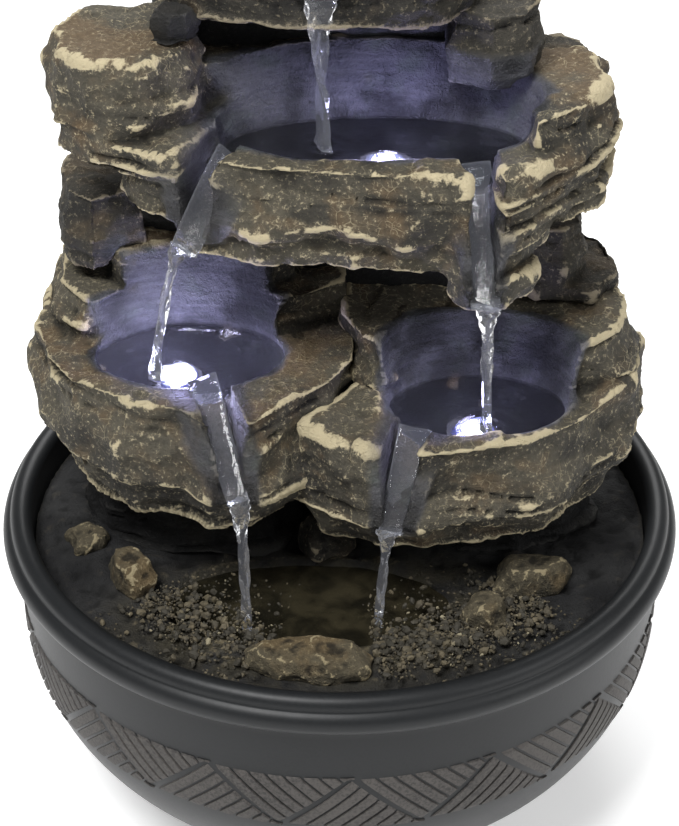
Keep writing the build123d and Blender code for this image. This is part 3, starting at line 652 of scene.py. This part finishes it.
core = fresh_copy("tower_core", "broken_tower_core", 1.6)
weather(core, 0.9, 131, keep=near_hatch)
settle(core, shadow_paint, FOUNTAIN, "dark_rock", "tower_core")
cover = fresh_copy("rear_cover", "broken_rear_cover", 0.9)
weather(cover, 0.55, 137, keep=cover_edges)
settle(cover, shadow_paint, "rear_cover", "dark_rock", "rear_cover")
print("column", len(core.data.polygons), "faces; cover", len(cover.data.polygons), "faces")

# %% [markdown]
# Wet things need two looks at water: a body of it that bends light in each pool, and thin falling
# streams. Both are closed shapes of clear water. They cast no shadow here, because a sharp shadow of
# clear water would black out the pools, and real water lets the light through.

# %% Water
WATER_REACH = 1.06  # the water's edge lies just inside the rock


def clear_water(name, tint, painted_glow=0.0):
    finish = Finish(name, IOR=1.333, Transmission_Weight=1.0, Roughness=0.02, Base_Color=(*tint, 1.0))
    # When this strength is above 0, the water glows faintly: painted light that brightens it.
    if painted_glow:
        finish.shader.inputs["Emission Color"].default_value = (0.85, 0.88, 1.0, 1.0)
        finish.shader.inputs["Emission Strength"].default_value = painted_glow
    ripples = finish.bump(finish.noise(2.2, 3.0), 0.45, 0.6)
    return finish.use(Normal=ripples)


pool_water = clear_water("pool_water", (0.93, 0.97, 0.98))
silt = Finish("silty_water", IOR=1.333, Transmission_Weight=0.22, Specular_IOR_Level=0.5)
silt_cloud = silt.noise(11, 4.0, warp=0.5)
silty_water = silt.use(
    Base_Color=silt.mix(silt_cloud.step(0.35, 0.7), (0.010, 0.009, 0.006), (0.034, 0.029, 0.017)),
    Roughness=0.06 + silt_cloud * 0.12,
    Normal=silt.bump(silt.noise(2.6, 2.0), 0.4, 0.5),
)
# The falling water glows faintly: painted light that makes the streams brighter.
falling_water = clear_water("falling_water", (0.97, 0.98, 1.0), 0.03)
# Where a stream lands: pool, x, y, and how hard it lands.
LANDINGS = {
    "left": [(-56, -24, 1.0)],
    "right": [(44, -38, 1.0)],
    "middle": [(-5, 3, 1.0)],
    "crown": [(-5, 40, 0.5)],
    "ground": [(-28.5, -58, 0.8), (12, -55, 0.8)],
}
RINGS, SPOKES = 44, 120


def pool_body(pool):
    """A closed body of water, rippled on top, whose sides and floor lie just inside the rock."""
    level = WATER_LEVEL[pool]
    floor = POOLS[pool][0][0] - 1.0
    points, faces = [], []
    for ring in range(RINGS + 1):
        for spoke in range(SPOKES):
            angle = 2 * math.pi * spoke / SPOKES
            x, y, wide, deep = oval_at(pool, level)
            reach = WATER_REACH * ring / RINGS
            points.append((x + wide * reach * math.cos(angle), y + deep * reach * math.sin(angle), level))
    points = np.array(points)
    wave = 0.10 * layered_noise(points, 9, 5) + 0.06 * noise(points, 4, 8)
    for x, y, power in LANDINGS[pool]:
        away = np.hypot(points[:, 0] - x, points[:, 1] - y)
        wave += power * (0.42 * np.cos(away * 1.25) * np.exp(-away / 7.5))
    points[:, 2] += wave
    x, y, wide, deep = oval_at(pool, floor + 1.0)
    base = []
    for spoke in range(SPOKES):
        angle = 2 * math.pi * spoke / SPOKES
        base.append((x + (wide + 1) * math.cos(angle), y + (deep + 1) * math.sin(angle), floor))
    centre_top, centre_base = points[:1], np.array([[x, y, floor]])
    all_points = np.concatenate([centre_top, points[SPOKES:], np.array(base), centre_base])
    last = len(all_points) - 1

    def index(ring, spoke):
        return 1 + (ring - 1) * SPOKES + spoke % SPOKES

    for spoke in range(SPOKES):
        faces.append((0, index(1, spoke), index(1, spoke + 1)))
        for ring in range(1, RINGS + 1):
            near, far = index(ring, spoke), index(ring + 1, spoke)
            faces.append((near, far, index(ring + 1, spoke + 1), index(ring, spoke + 1)))
        faces.append((last, index(RINGS + 1, spoke + 1), index(RINGS + 1, spoke)))
    water = mesh_piece(pool + "_pool_water", all_points, faces)
    smooth(water)
    return water


for pool in POOLS:
    water = pool_body(pool)
    water.visible_shadow = False
    settle(water, silty_water if pool == "ground" else pool_water, FOUNTAIN, "light_lens")
    print(pool, "pool of water,", len(water.data.polygons), "faces")

# %% [markdown]
# A stream runs down its spout as a thin film, leaves the tip and falls. Gravity pulls it narrow, and it
# twists as it falls, so its outline swells and thins. It is built as rings of points along the path.

# %% Streams
# Each stream: the film's points, the landing point, and its width at the tip.
STREAMS = {
    "crown_stream": ([(-6, 20, 290.6), (-6, 6, 286.6), (-6, -6, 281.5)], (-5, 3, 228.6), 12.0),
    "middle_left_stream": ([(-31, -3, 228.3), (-38, -14, 221.5), (-45, -29, 211.5)], (-56, -24, 165.2), 8.5),
    "middle_right_stream": ([(38, -7, 228.2), (40, -24, 215.0), (42, -43, 200.5)], (44, -38, 155.2), 8.5),
    "left_stream": ([(-42, -25, 164.8), (-36, -41, 153.8), (-30, -58, 142.5)], (-28.5, -58, 94.8), 7.0),
    "right_stream": ([(23, -37, 154.8), (19, -47, 143.0), (15, -57, 130.5)], (12, -55, 94.8), 7.0),
}
FILM_STEPS, FALL_STEPS, ROUND = 14, 70, 20


def stream_path(film, landing):
    """Points along the film and then the fall, and how far along the fall each one is."""
    film = np.array(film, float)
    landing = np.array(landing, float)
    tip = film[-1]
    path, fallen = [], []
    for step in range(FILM_STEPS):
        t = step / FILM_STEPS
        path.append((1 - t) ** 2 * film[0] + 2 * t * (1 - t) * film[1] + t * t * film[2])
        fallen.append(0.0)
    for step in range(FALL_STEPS + 1):
        t = step / FALL_STEPS
        point = tip + (landing - tip) * t
        drop = tip[2] - landing[2]
        point[2] = tip[2] - drop * (0.18 * t + 0.82 * t * t)
        path.append(point)
        fallen.append(t)
    return np.array(path), np.array(fallen)


def stream(name, film, landing, width, seed):
    path, fallen = stream_path(film, landing)
    ahead = np.gradient(path, axis=0)
    ahead /= np.linalg.norm(ahead, axis=1)[:, None]
    across = np.cross(ahead, (0, 1, 0.001))
    across /= np.linalg.norm(across, axis=1)[:, None]
    through = np.cross(across, ahead)
    line = np.stack([path[:, 2], np.zeros(len(path)), np.zeros(len(path))], 1)
    on_film = fallen == 0
    half_width = 0.5 * width * (1 - 0.52 * ramp(fallen, 0.0, 0.45)) * (1 + 0.28 * noise(line, 9, seed) * ~on_film)
    half_depth = 0.95 + 0.25 * noise(path, 5, seed + 4) + 0.45 * ramp(fallen, 0.02, 0.5)
    half_depth += 0.35 * noise(line, 6, seed + 1) * ~on_film
    half_width[on_film] *= np.linspace(1.5, 1.0, on_film.sum())
    half_width[-3:] *= (1.15, 1.35, 1.6)
    twist = 2.2 * fallen + 0.6 * noise(line, 22, seed + 2) * ~on_film
    points, faces = [], []
    for i in range(len(path)):
        for side in range(ROUND):
            angle = 2 * math.pi * side / ROUND
            lobe = 1 + 0.20 * math.sin(3 * angle + 9 * fallen[i]) * (fallen[i] > 0)
            lobe += 0.10 * math.sin(5 * angle - 31 * fallen[i] + seed) * (fallen[i] > 0)
            u = half_width[i] * math.cos(angle) * lobe
            v = max(half_depth[i], 0.45) * math.sin(angle) * lobe
            cosine, sine = math.cos(twist[i]), math.sin(twist[i])
            u, v = u * cosine - v * sine, u * sine + v * cosine
            points.append(path[i] + across[i] * u + through[i] * v)
    for i in range(len(path) - 1):
        for side in range(ROUND):
            a, b = i * ROUND + side, i * ROUND + (side + 1) % ROUND
            faces.append((a, b, b + ROUND, a + ROUND))
    faces.append(tuple(range(ROUND - 1, -1, -1)))
    faces.append(tuple(range((len(path) - 1) * ROUND, len(path) * ROUND)))
    piece = mesh_piece(name, points, faces)
    edit(piece, (bpy.ops.mesh.normals_make_consistent, {"inside": False}))
    smooth(piece)
    return piece


for number, (name, (film, landing, width)) in enumerate(STREAMS.items()):
    piece = stream(name, film, landing, width, 200 + number * 7)
    piece.visible_shadow = False
    settle(piece, falling_water, FOUNTAIN, "light_lens")
    print(name, len(piece.data.polygons), "faces")

# %% [markdown]
# The bowl is turned: its section is drawn once and spun round the upright axis. The rim is a round bead
# above a softer band, and the wall runs straight down before it curves in to the foot.

# %% The bowl
bowl_low, bowl_high = (np.array(corner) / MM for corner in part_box("bowl"))
RIM_TOP = bowl_high[2]
FOOT = bowl_low[2]
WALL, WALL_BEND, WALL_DROP = 105.0, 70.0, 80.0
INNER_WALL, INNER_DROP, INNER_FLOOR = 98.5, 74.0, 9.0
LEDGE, MOUTH, BEAD = 88.0, 100.5, 4.0
BAND_RADIUS, BAND_LOW, BAND_MIDDLE, BAND_HIGH = 107.3, 95.6, 99.6, 103.6
BOWL_STEPS = 240


def ellipse_wall(height, radius, drop):
    return radius * math.sqrt(max(0.0, 1 - (max(0.0, WALL_BEND - height) / drop) ** 2))


def arc_points(start, through, end, count):
    """Points on the circle through three points, without the first."""
    (ax, ay), (bx, by), (cx, cy) = start, through, end
    d = 2 * (ax * (by - cy) + bx * (cy - ay) + cx * (ay - by))
    ux = ((ax**2 + ay**2) * (by - cy) + (bx**2 + by**2) * (cy - ay) + (cx**2 + cy**2) * (ay - by)) / d
    uy = ((ax**2 + ay**2) * (cx - bx) + (bx**2 + by**2) * (ax - cx) + (cx**2 + cy**2) * (bx - ax)) / d
    radius = math.hypot(ax - ux, ay - uy)
    first, middle, last = (math.atan2(y - uy, x - ux) for x, y in (start, through, end))
    while middle < first:
        middle += 2 * math.pi
    while last < middle:
        last += 2 * math.pi
    if last - first > 2 * math.pi:
        first, last = first + 2 * math.pi, last
    steps = [first + (last - first) * step / count for step in range(1, count + 1)]
    return [(ux + radius * math.cos(a), uy + radius * math.sin(a)) for a in steps]


profile = [(0.0, FOOT)]
foot_radius = ellipse_wall(FOOT, WALL, WALL_DROP)
profile += [(foot_radius * share, FOOT) for share in (0.3, 0.6, 0.9)]
profile += [(foot_radius - 1.2, FOOT), (foot_radius, FOOT + 0.4)]
for step in range(1, 41):
    height = FOOT + 0.4 + (WALL_BEND - FOOT - 0.4) * step / 40
    profile.append((ellipse_wall(height, WALL, WALL_DROP), height))
profile += [(WALL, height) for height in (74.0, 80.0, 86.0, 91.0, 93.4)]
profile += [(WALL + 0.25, BAND_LOW - 1.2), (WALL + 1.0, BAND_LOW - 0.5), (BAND_RADIUS, BAND_LOW)]
profile += arc_points((BAND_RADIUS, BAND_LOW), (110.0, BAND_MIDDLE), (BAND_RADIUS, BAND_HIGH), 14)
profile += arc_points((BAND_RADIUS, BAND_HIGH), (MOUTH + BEAD, RIM_TOP), (MOUTH, RIM_TOP - BEAD), 18)
profile += [(MOUTH, 98.0), (MOUTH, LEDGE + 0.3), (MOUTH - 0.3, LEDGE), (INNER_WALL, LEDGE)]
profile += [(INNER_WALL, 82.0), (INNER_WALL, 76.0)]
for step in range(0, 21):
    height = WALL_BEND + (INNER_FLOOR - WALL_BEND) * step / 20
    profile.append((ellipse_wall(height, INNER_WALL, INNER_DROP), height))
profile += [(profile[-1][0] * share, INNER_FLOOR) for share in (0.6, 0.3)] + [(0.0, INNER_FLOOR)]

bowl = mesh_piece("turned_bowl", [(radius, 0, height) for radius, height in profile], [])
bowl.data.edges.add(len(profile) - 1)
bowl.data.edges.foreach_set("vertices", [index for i in range(len(profile) - 1) for index in (i, i + 1)])
bowl.data.update()
edit(
    bowl,
    (bpy.ops.mesh.spin, {"steps": BOWL_STEPS, "angle": 2 * math.pi, "center": (0, 0, 0), "axis": (0, 0, 1)}),
    (bpy.ops.mesh.remove_doubles, {"threshold": 0.00002}),
    (bpy.ops.mesh.normals_make_consistent, {"inside": False}),
)
smooth(bowl)
print("bowl", len(bowl.data.polygons), "faces")

# %% [markdown]
# The window for the cable in the back wall is square, like its rubber grommet, so a block cuts it.

# %% The cable window
grommet_low, grommet_high = (np.array(corner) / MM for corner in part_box("cable_grommet"))
WINDOW_SIDE, CUT_DEPTH = 10.0, 30
grommet_middle = (grommet_low + grommet_high) / 2
cutter = add_shape(bpy.ops.mesh.primitive_cube_add, size=1.0, location=tuple(grommet_middle * MM))
cutter.scale = (WINDOW_SIDE * MM, CUT_DEPTH * MM, WINDOW_SIDE * MM)
bpy.ops.object.transform_apply(location=False, rotation=False, scale=True)
apply_modifier(bowl, "BOOLEAN", object=cutter, operation="DIFFERENCE", solver="EXACT")
bpy.data.objects.remove(cutter)
print("bowl with its window", len(bowl.data.polygons), "faces")

# %% [markdown]
# The glaze is a soft black with a faint cloudiness. The strips of the woven band are rubbed lighter.


# %% The bowl's finish
def satin_black(name, colour, rubbed, roughness):
    finish = Finish(name, Specular_IOR_Level=0.28)
    cloud = finish.noise(30, 4.0)
    fine = finish.noise(0.9, 3.0, 0.6)
    shade = finish.mix(cloud.step(0.35, 0.7), colour, tuple(1.35 * channel for channel in colour))
    shade = finish.mix((fine + cloud * 0.4).step(0.45, 0.85) * 0.8, shade, rubbed)
    return finish.use(
        Base_Color=shade,
        Roughness=roughness + fine * 0.10 + cloud * 0.06,
        Normal=finish.bump(fine * 0.6 + finish.noise(6, 2.0) * 0.8, 0.12, 0.35),
    )


glaze = satin_black("bowl_glaze", (0.0065, 0.0072, 0.0080), (0.011, 0.012, 0.013), 0.36)
rubbed_glaze = satin_black("rubbed_glaze", (0.027, 0.025, 0.024), (0.082, 0.075, 0.069), 0.6)
settle(bowl, glaze, FOUNTAIN, "bowl_glaze", "bowl")

# %% [markdown]
# The woven band is fifteen pairs of triangles, each filled with eight flat strips that run along one of
# its sides. Seen flat, one strip is a slim four-sided patch. It is modelled once as a grid, its border is
# pressed down, and each copy is laid on the curved wall.

# %% The woven band
BAND_TOP, BAND_FOOT = 76.5, 54.0
PERIODS, STRIPS = 15, 8
PHASE = math.radians(2.5 - 12.0)
STRIP_HEIGHT, BURIED, GROOVE = 0.55, 0.3, 0.075  # the border of each strip lies below the wall's skin
LONG_STEPS = 14
blank_points, blank_faces = take_shape(
    bpy.ops.mesh.primitive_grid_add, x_subdivisions=5, y_subdivisions=LONG_STEPS, size=2.0
)
ACROSS = np.interp(blank_points[:, 0], (-1, -0.6, -0.2, 0.2, 0.6, 1), (0, 0.07, 0.35, 0.65, 0.93, 1))
ALONG = (blank_points[:, 1] + 1) / 2
IS_EDGE = (np.abs(np.abs(blank_points[:, :2]) - 1) < 0.01).any(axis=1)


def on_wall(turn, share):
    """Points and outward directions on the bowl's wall, from turns in periods and a share of the band."""
    angle = PHASE + turn * 2 * math.pi / PERIODS
    height = BAND_FOOT + (BAND_TOP - BAND_FOOT) * share
    below = np.maximum(0.0, WALL_BEND - height)
    radius = WALL * np.sqrt(1 - (below / WALL_DROP) ** 2)
    slope = WALL * below / WALL_DROP**2 / np.sqrt(1 - (below / WALL_DROP) ** 2)
    out = np.stack([np.sin(angle), -np.cos(angle), -slope], 1)
    out /= np.linalg.norm(out, axis=1)[:, None]
    return np.stack([radius * np.sin(angle), -radius * np.cos(angle), height], 1), out


strip_points, strip_faces = [], []
for period in range(PERIODS):
    for upside_down in (False, True):
        for strip in range(STRIPS):
            low = (strip + GROOVE) / STRIPS
            high = (strip + 1 - GROOVE) / STRIPS
            start = low + (high - low) * ACROSS
            length = 1 - start - 0.035
            share = 0.02 + ALONG * np.maximum(length - 0.02, 0.004)
            turn = start + share / 2
            if upside_down:
                turn, share = turn + 0.5, 1 - share
            place, out = on_wall(turn + period, share)
            lift = np.where(IS_EDGE, -BURIED, STRIP_HEIGHT)
            base = len(strip_points) * len(blank_points)
            strip_points.append(place + out * lift[:, None])
            for face in blank_faces:
                corners = [base + index for index in face]
                strip_faces.append(corners[::-1] if upside_down else corners)
weave = mesh_piece("woven_band", np.concatenate(strip_points), strip_faces)
apply_modifier(weave, "SOLIDIFY", thickness=0.25 * MM, offset=-1.0)
pick(weave)
bpy.ops.object.shade_smooth_by_angle(angle=math.radians(40))
settle(weave, rubbed_glaze, FOUNTAIN, "bowl_glaze")
print("woven band", len(strip_points), "strips,", len(weave.data.polygons), "faces")

# %% [markdown]
# The ground inside the bowl is cast as one plate: coarse dark earth that dips into a small pool. Its skin
# is remeshed and roughened, but its border stays true, because it rests on a step in the bowl.


# %% The ground plate
def plate_border(points):
    """1 on the plate's underside and rim, 0 on its top."""
    return 1 - ramp(points[:, 2], 93.0, 95.5) * (1 - ramp(np.hypot(points[:, 0], points[:, 1]), 97.5, 99.6))


BANK_HEIGHT, BANK_RADIUS, BANK_START = 1.6, 60, -25  # the earth is banked up round the pool's front
plate = fresh_copy("ground_plate", "earth_plate", 1.15)
points, normals = read_points(plate), read_normals(plate)
free = 1 - plate_border(points)
calm = pool_smoothness(points)
earth = 1.3 * layered_noise(points, 24, 301) + 0.8 * layered_noise(points, 7, 305, 3)
earth += 0.45 * noise(points, 2.6, 306)
earth += 1.3 * (chipped(points, 12, 310) - CHIP_MEAN) + 1.1 * (CHIP_MEAN - chipped(points, 4.2, 312))
away = np.hypot(points[:, 0] + 5, points[:, 1] + 20)
earth += BANK_HEIGHT * np.exp(-(((away - BANK_RADIUS) / 9) ** 2)) * (points[:, 1] < BANK_START)
write_points(plate, points + normals * (np.clip(earth, -1.8, 3.6) * free * (1 - 0.75 * calm))[:, None])
smooth(plate)
store_wear(plate, calm)
middle = np.hypot((points[:, 0] + 6) / 62, (points[:, 1] + 56) / 34)
paint(plate, "damp", 1 - ramp(middle, 0.65, 1.25))


def earth_paint():
    finish = Finish("earth_paint", Specular_IOR_Level=0.3)
    ridge, hollow_shade, damp = finish.stored("ridge"), finish.stored("hollow_shade"), finish.stored("damp")
    cloud, speckle, grit = finish.noise(20, 4.0), finish.noise(1.1, 4.0, 0.75), finish.noise(0.5, 3.0)
    coat = finish.mix(cloud.step(0.35, 0.7), (0.013, 0.013, 0.014), (0.034, 0.034, 0.034))
    coat = finish.mix(damp * finish.noise(9, 4.0).step(0.28, 0.6) * 0.9, coat, (0.058, 0.050, 0.030))
    flecks = (ridge * 0.5 + speckle * 0.8 + grit * 0.2 - 0.42).step(0.15, 0.6) * (damp * 0.8 + 0.12)
    coat = finish.mix(flecks * 0.7, coat, (0.22, 0.18, 0.11))
    # Hollows are darkened by up to 70 per cent: painted shade.
    coat = finish.scale(coat, (1 - hollow_shade * 0.7) * (0.45 + speckle * 1.0))
    return finish.use(
        Base_Color=coat, Roughness=0.8 - damp * 0.25, Normal=finish.bump(speckle * 0.7 + grit * 0.3, 2.0, 1.0)
    )


settle(plate, earth_paint(), FOUNTAIN, "dark_rock", "ground_plate")
print("ground plate", len(plate.data.polygons), "faces")

# %% [markdown]
# The kerb stones round the pool are rounder than slate, so they are weathered more gently, and their
# paint is a warmer beige.

# %% Kerb stones
beige_paint = rock_paint(
    "beige_paint", (0.050, 0.043, 0.028), (0.105, 0.088, 0.055), (0.150, 0.105, 0.050), (0.36, 0.30, 0.18), 0.9, 0.0
)
for number, node in enumerate(("front_kerb_stone", "right_kerb_stones", "left_kerb_stones", "pool_back_stone")):
    stone = fresh_copy(node, "worn_" + node, 0.55)
    write_points(stone, neighbour_mean(read_points(stone), read_edges(stone), 8))
    points, normals = read_points(stone), read_normals(stone)
    lumps = 0.9 * layered_noise(points, 10, 400 + number) + 2.6 * (chipped(points, 9, 410 + number) - CHIP_MEAN)
    lumps += 0.2 * layered_noise(points, 2.2, 420 + number)
    write_points(stone, points + normals * np.clip(lumps, -1.5, 1.3)[:, None])
    smooth(stone)
    store_wear(stone, np.zeros(len(points)))
    settle(stone, beige_paint if number < 3 else dusk_paint, FOUNTAIN, "pale_stone", node)
    print(node, len(stone.data.polygons), "faces")

# %% [markdown]
# Gravel is one grain, a ball of a few faces that is dented, then copied a few thousand times at random
# sizes and turns. The grains lie in two banks beside the pool.


# %% Gravel banks
def bank_points(count, seed):
    """Random places on the two gravel banks, in millimetres."""
    random = np.random.default_rng(seed)
    places = []
    for _ in range(count):
        right = random.random() < 0.62
        start, end = (math.radians(8), math.radians(52)) if right else (math.radians(-52), math.radians(-16))
        angle = start + (end - start) * random.random()
        spread = 15 if random.random() < 0.75 else 34
        radius = min(76 + spread * (random.random() + random.random() - 1), 95)
        places.append((radius * math.sin(angle), -radius * math.cos(angle)))
    return np.array(places), random


GRAINS, GRAVEL_FOOT = 3400, 98.3
pebble_points, pebble_faces = take_shape(bpy.ops.mesh.primitive_ico_sphere_add, subdivisions=1, radius=1.0)
places, random = bank_points(GRAINS, 12)
gravel_points, gravel_faces, gravel_shade = [], [], []
for number, (x, y) in enumerate(places):
    size = 0.34 + 1.15 * random.random() ** 6
    dent = 1 + 0.34 * noise(pebble_points + number * 7.3, 0.9, 7)
    turn = random.random(3) * math.pi
    rotation = np.array(Vector((0, 0, 1)).rotation_difference(Vector(turn - 1.5)).to_matrix())
    body = (pebble_points * dent[:, None] * (1.25, 0.95, 0.75)) @ rotation.T * size
    body += (x, y, GRAVEL_FOOT + size * 0.2 + 1.6 * random.random())
    base = len(gravel_points) * len(pebble_points)
    gravel_points.append(body)
    gravel_faces += [tuple(base + index for index in face) for face in pebble_faces]
    gravel_shade.append(np.full(len(body), random.random()))
gravel = mesh_piece("loose_gravel", np.concatenate(gravel_points), gravel_faces)
paint(gravel, "shade", np.concatenate(gravel_shade))


def gravel_paint():
    finish = Finish("gravel_paint", Specular_IOR_Level=0.45)
    shade, speckle = finish.stored("shade"), finish.noise(0.8, 3.0, 0.7)
    coat = finish.mix(shade.step(0.3, 1.0), (0.034, 0.030, 0.021), (0.105, 0.086, 0.052))
    coat = finish.mix(shade.step(0.965, 0.985) * 0.6, coat, (0.34, 0.30, 0.20))
    coat = finish.scale(coat, 0.5 + speckle)
    return finish.use(Base_Color=coat, Roughness=0.7 + speckle * 0.1, Normal=finish.bump(speckle, 0.3, 0.8))


settle(gravel, gravel_paint(), FOUNTAIN, "pale_stone", "gravel_banks")
print("gravel", len(places), "grains,", len(gravel.data.polygons), "faces")

# %% [markdown]
# The inner parts keep their CAD shape, because it is right, and only get true finishes: moulded plastic,
# rubber, copper wire, stacked steel, ceramic and clear hose.


# %% Finishes of the inner parts
def moulded(name, colour, roughness, grain_mm=0.8, depth=0.06):
    finish = Finish(name, Specular_IOR_Level=0.5)
    grain, cloud = finish.noise(grain_mm, 3.0), finish.noise(14, 3.0)
    coat = finish.scale(finish.mix(cloud, colour, tuple(1.3 * channel for channel in colour)), 0.85 + grain * 0.3)
    return finish.use(Base_Color=coat, Roughness=roughness + cloud * 0.12, Normal=finish.bump(grain, depth, 0.6))


def layered_metal(name, colour, pitch_mm, metallic, roughness):
    finish = Finish(name, Metallic=metallic)
    band = finish.add(
        "ShaderNodeTexWave",
        settings={"wave_type": "BANDS", "bands_direction": "Y"},
        Vector=finish.place,
        Scale=0.314 / pitch_mm / MM,
        Distortion=0.4,
    )
    dull = tuple(0.8 * channel for channel in colour)
    coat = finish.scale(finish.mix(finish.noise(6), colour, dull), 0.6 + band * 0.5)
    return finish.use(Base_Color=coat, Roughness=roughness + band * 0.1, Normal=finish.bump(band, 0.15, 0.8))


def clear_tube():
    finish = Finish("clear_tube", IOR=1.5, Transmission_Weight=0.85, Roughness=0.12, Base_Color=(0.86, 0.9, 0.9, 1))
    return finish.use(Normal=finish.bump(finish.noise(8), 0.1, 0.3))


def lit_lens(side, glow_radius, strength):
    """A clear lens that glows round its own middle."""
    low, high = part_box(side + "_light_lens")
    middle = tuple((a + b) / 2 for a, b in zip(low, high))
    finish = Finish(side + "_lit_lens", Base_Color=(0.10, 0.11, 0.14, 1), Roughness=0.1, Emission_Strength=strength)
    away = finish.add(
        "ShaderNodeVectorMath", out="Value", settings={"operation": "DISTANCE"}, _0=finish.place, _1=middle
    )
    glow = finish.mix((away / MM).step(0.3 * glow_radius, glow_radius), (0.93, 0.94, 1.0), (0.0, 0.0, 0.01))
    return finish.use(Emission_Color=glow)


FINISHES = {
    "pump_plastic": moulded("black_plastic", (0.022, 0.022, 0.024), 0.42),
    "black_rubber": moulded("black_rubber", (0.018, 0.018, 0.018), 0.75, 1.5, 0.1),
    "lead_jacket": moulded("lead_jacket", (0.02, 0.02, 0.02), 0.5),
    "regulator_plastic": moulded("regulator_plastic", (0.06, 0.062, 0.07), 0.35),
    "circuit_board": moulded("circuit_board", (0.62, 0.62, 0.58), 0.4),
    "lamination_steel": layered_metal("lamination_steel", (0.30, 0.30, 0.31), 0.5, 1.0, 0.4),
    "copper_winding": layered_metal("copper_winding", (0.62, 0.26, 0.10), 0.35, 1.0, 0.3),
    "spring_steel": layered_metal("spring_steel", (0.55, 0.55, 0.56), 2.0, 1.0, 0.3),
    "ferrite": moulded("ferrite", (0.045, 0.045, 0.05), 0.5, 0.4, 0.1),
    "ceramic": moulded("ceramic", (0.75, 0.75, 0.72), 0.25, 0.5, 0.02),
    "bush_plastic": moulded("bush_plastic", (0.03, 0.03, 0.03), 0.6),
    "impeller_plastic": moulded("impeller_plastic", (0.35, 0.36, 0.38), 0.4),
    "clear_hose": clear_tube(),
    "weathered_rock": slate_paint,
    "dark_rock": shadow_paint,
    "pale_stone": beige_paint,
    "bowl_glaze": glaze,
}
slot_of = {entry["node"]: entry["material_slot"] for entry in frame["record"]["subparts"]}
LENSES = {  # node: (side, radius of the glow, strength)
    "left_light_lens": ("left", 6.4, 26.0),
    "right_light_lens": ("right", 4.2, 26.0),
    "middle_light_lens": ("middle", 2.0, 0.2),
}
for name, node in nodes.items():
    if name in LENSES:
        dress(node, lit_lens(*LENSES[name]))
    elif name in slot_of:
        dress(node, FINISHES[slot_of[name]])
print(len(nodes), "nodes dressed")

# %% [markdown]
# Each pool light is two small lamps over its lens: one under the water, which lights the floor, and one
# just above it, which lights the walls. The eye sees only the glowing lens between them.

# %% Pool lights
GLOW = {"left": (0.080, 0.026), "right": (0.022, 0.022), "middle": (0.010, 0.055)}  # watts, low and high lamp
LAMP_HEIGHTS = 6, 17  # over the lens
for side, powers in GLOW.items():
    low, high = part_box(side + "_light_lens")
    for height, watts in zip(LAMP_HEIGHTS, powers):
        lamp = bpy.data.lights.new(side + "_glow", "POINT")
        lamp.energy = watts
        lamp.color = (0.60, 0.58, 1.0)
        lamp.shadow_soft_size = 4 * MM
        holder = bpy.data.objects.new(side + "_glow", lamp)
        holder.location = ((low[0] + high[0]) / 2, (low[1] + high[1]) / 2, high[2] + height * MM)
        holder.visible_camera = False
        holder.visible_transmission = False
        bpy.context.scene.collection.objects.link(holder)
print("pool lights:", len(GLOW) * 2, "lamps")

# %% [markdown]
# The set is a pale floor under broad soft lights, and the camera looks down at the bowl's rim from the
# front, near enough that the bowl's foot and the tower's top run out of the picture.


# %% Floor, lights and camera
def softbox(name, place, aim, size, watts):
    light = bpy.data.lights.new(name, "AREA")
    light.shape = "SQUARE"
    light.size = size
    light.energy = watts
    holder = bpy.data.objects.new(name, light)
    holder.location = place
    holder.rotation_euler = (Vector(aim) - Vector(place)).to_track_quat("-Z", "Y").to_euler()
    bpy.context.scene.collection.objects.link(holder)


floor = add_shape(bpy.ops.mesh.primitive_plane_add, size=8.0, location=(0, 0, 0))
floor.name = "floor"
paper = Finish("floor_paint", Roughness=0.9, Emission_Color=(1, 1, 1, 1), Emission_Strength=0.38)
dress(floor, paper.use(Base_Color=paper.mix(paper.noise(300), (0.86, 0.86, 0.86), (0.9, 0.9, 0.9))))
world = bpy.data.worlds.new("studio")
bpy.context.scene.world = world
world.use_nodes = True
background = world.node_tree.nodes["Background"]
background.inputs["Color"].default_value = (1, 1, 1, 1)
background.inputs["Strength"].default_value = 0.24
softbox("key", (-0.35, -0.55, 1.25), (0, 0, 0.15), 0.5, 20.0)
softbox("fill", (0.9, -0.5, 0.7), (0, 0, 0.15), 0.6, 4.0)
softbox("back", (0.1, 0.8, 1.0), (0, 0, 0.2), 0.6, 9.0)

RIM_CENTRE = Vector((0, 0, 0.102))
CAMERA_DISTANCE, CAMERA_ELEVATION = 0.700, math.radians(36.0)
CAMERA_PITCH, CAMERA_LENS = math.radians(33.71), 92.57
camera_data = bpy.data.cameras.new("camera")
camera_data.lens = CAMERA_LENS
camera = bpy.data.objects.new("camera", camera_data)
away = Vector((0, -math.cos(CAMERA_ELEVATION), math.sin(CAMERA_ELEVATION)))
camera.location = RIM_CENTRE + CAMERA_DISTANCE * away
camera.rotation_euler = (math.pi / 2 - CAMERA_PITCH, 0, 0)
bpy.context.scene.collection.objects.link(camera)
bpy.context.scene.camera = camera
bpy.context.scene.view_settings.view_transform = "Standard"
print("camera at", tuple(round(value, 4) for value in camera.location))
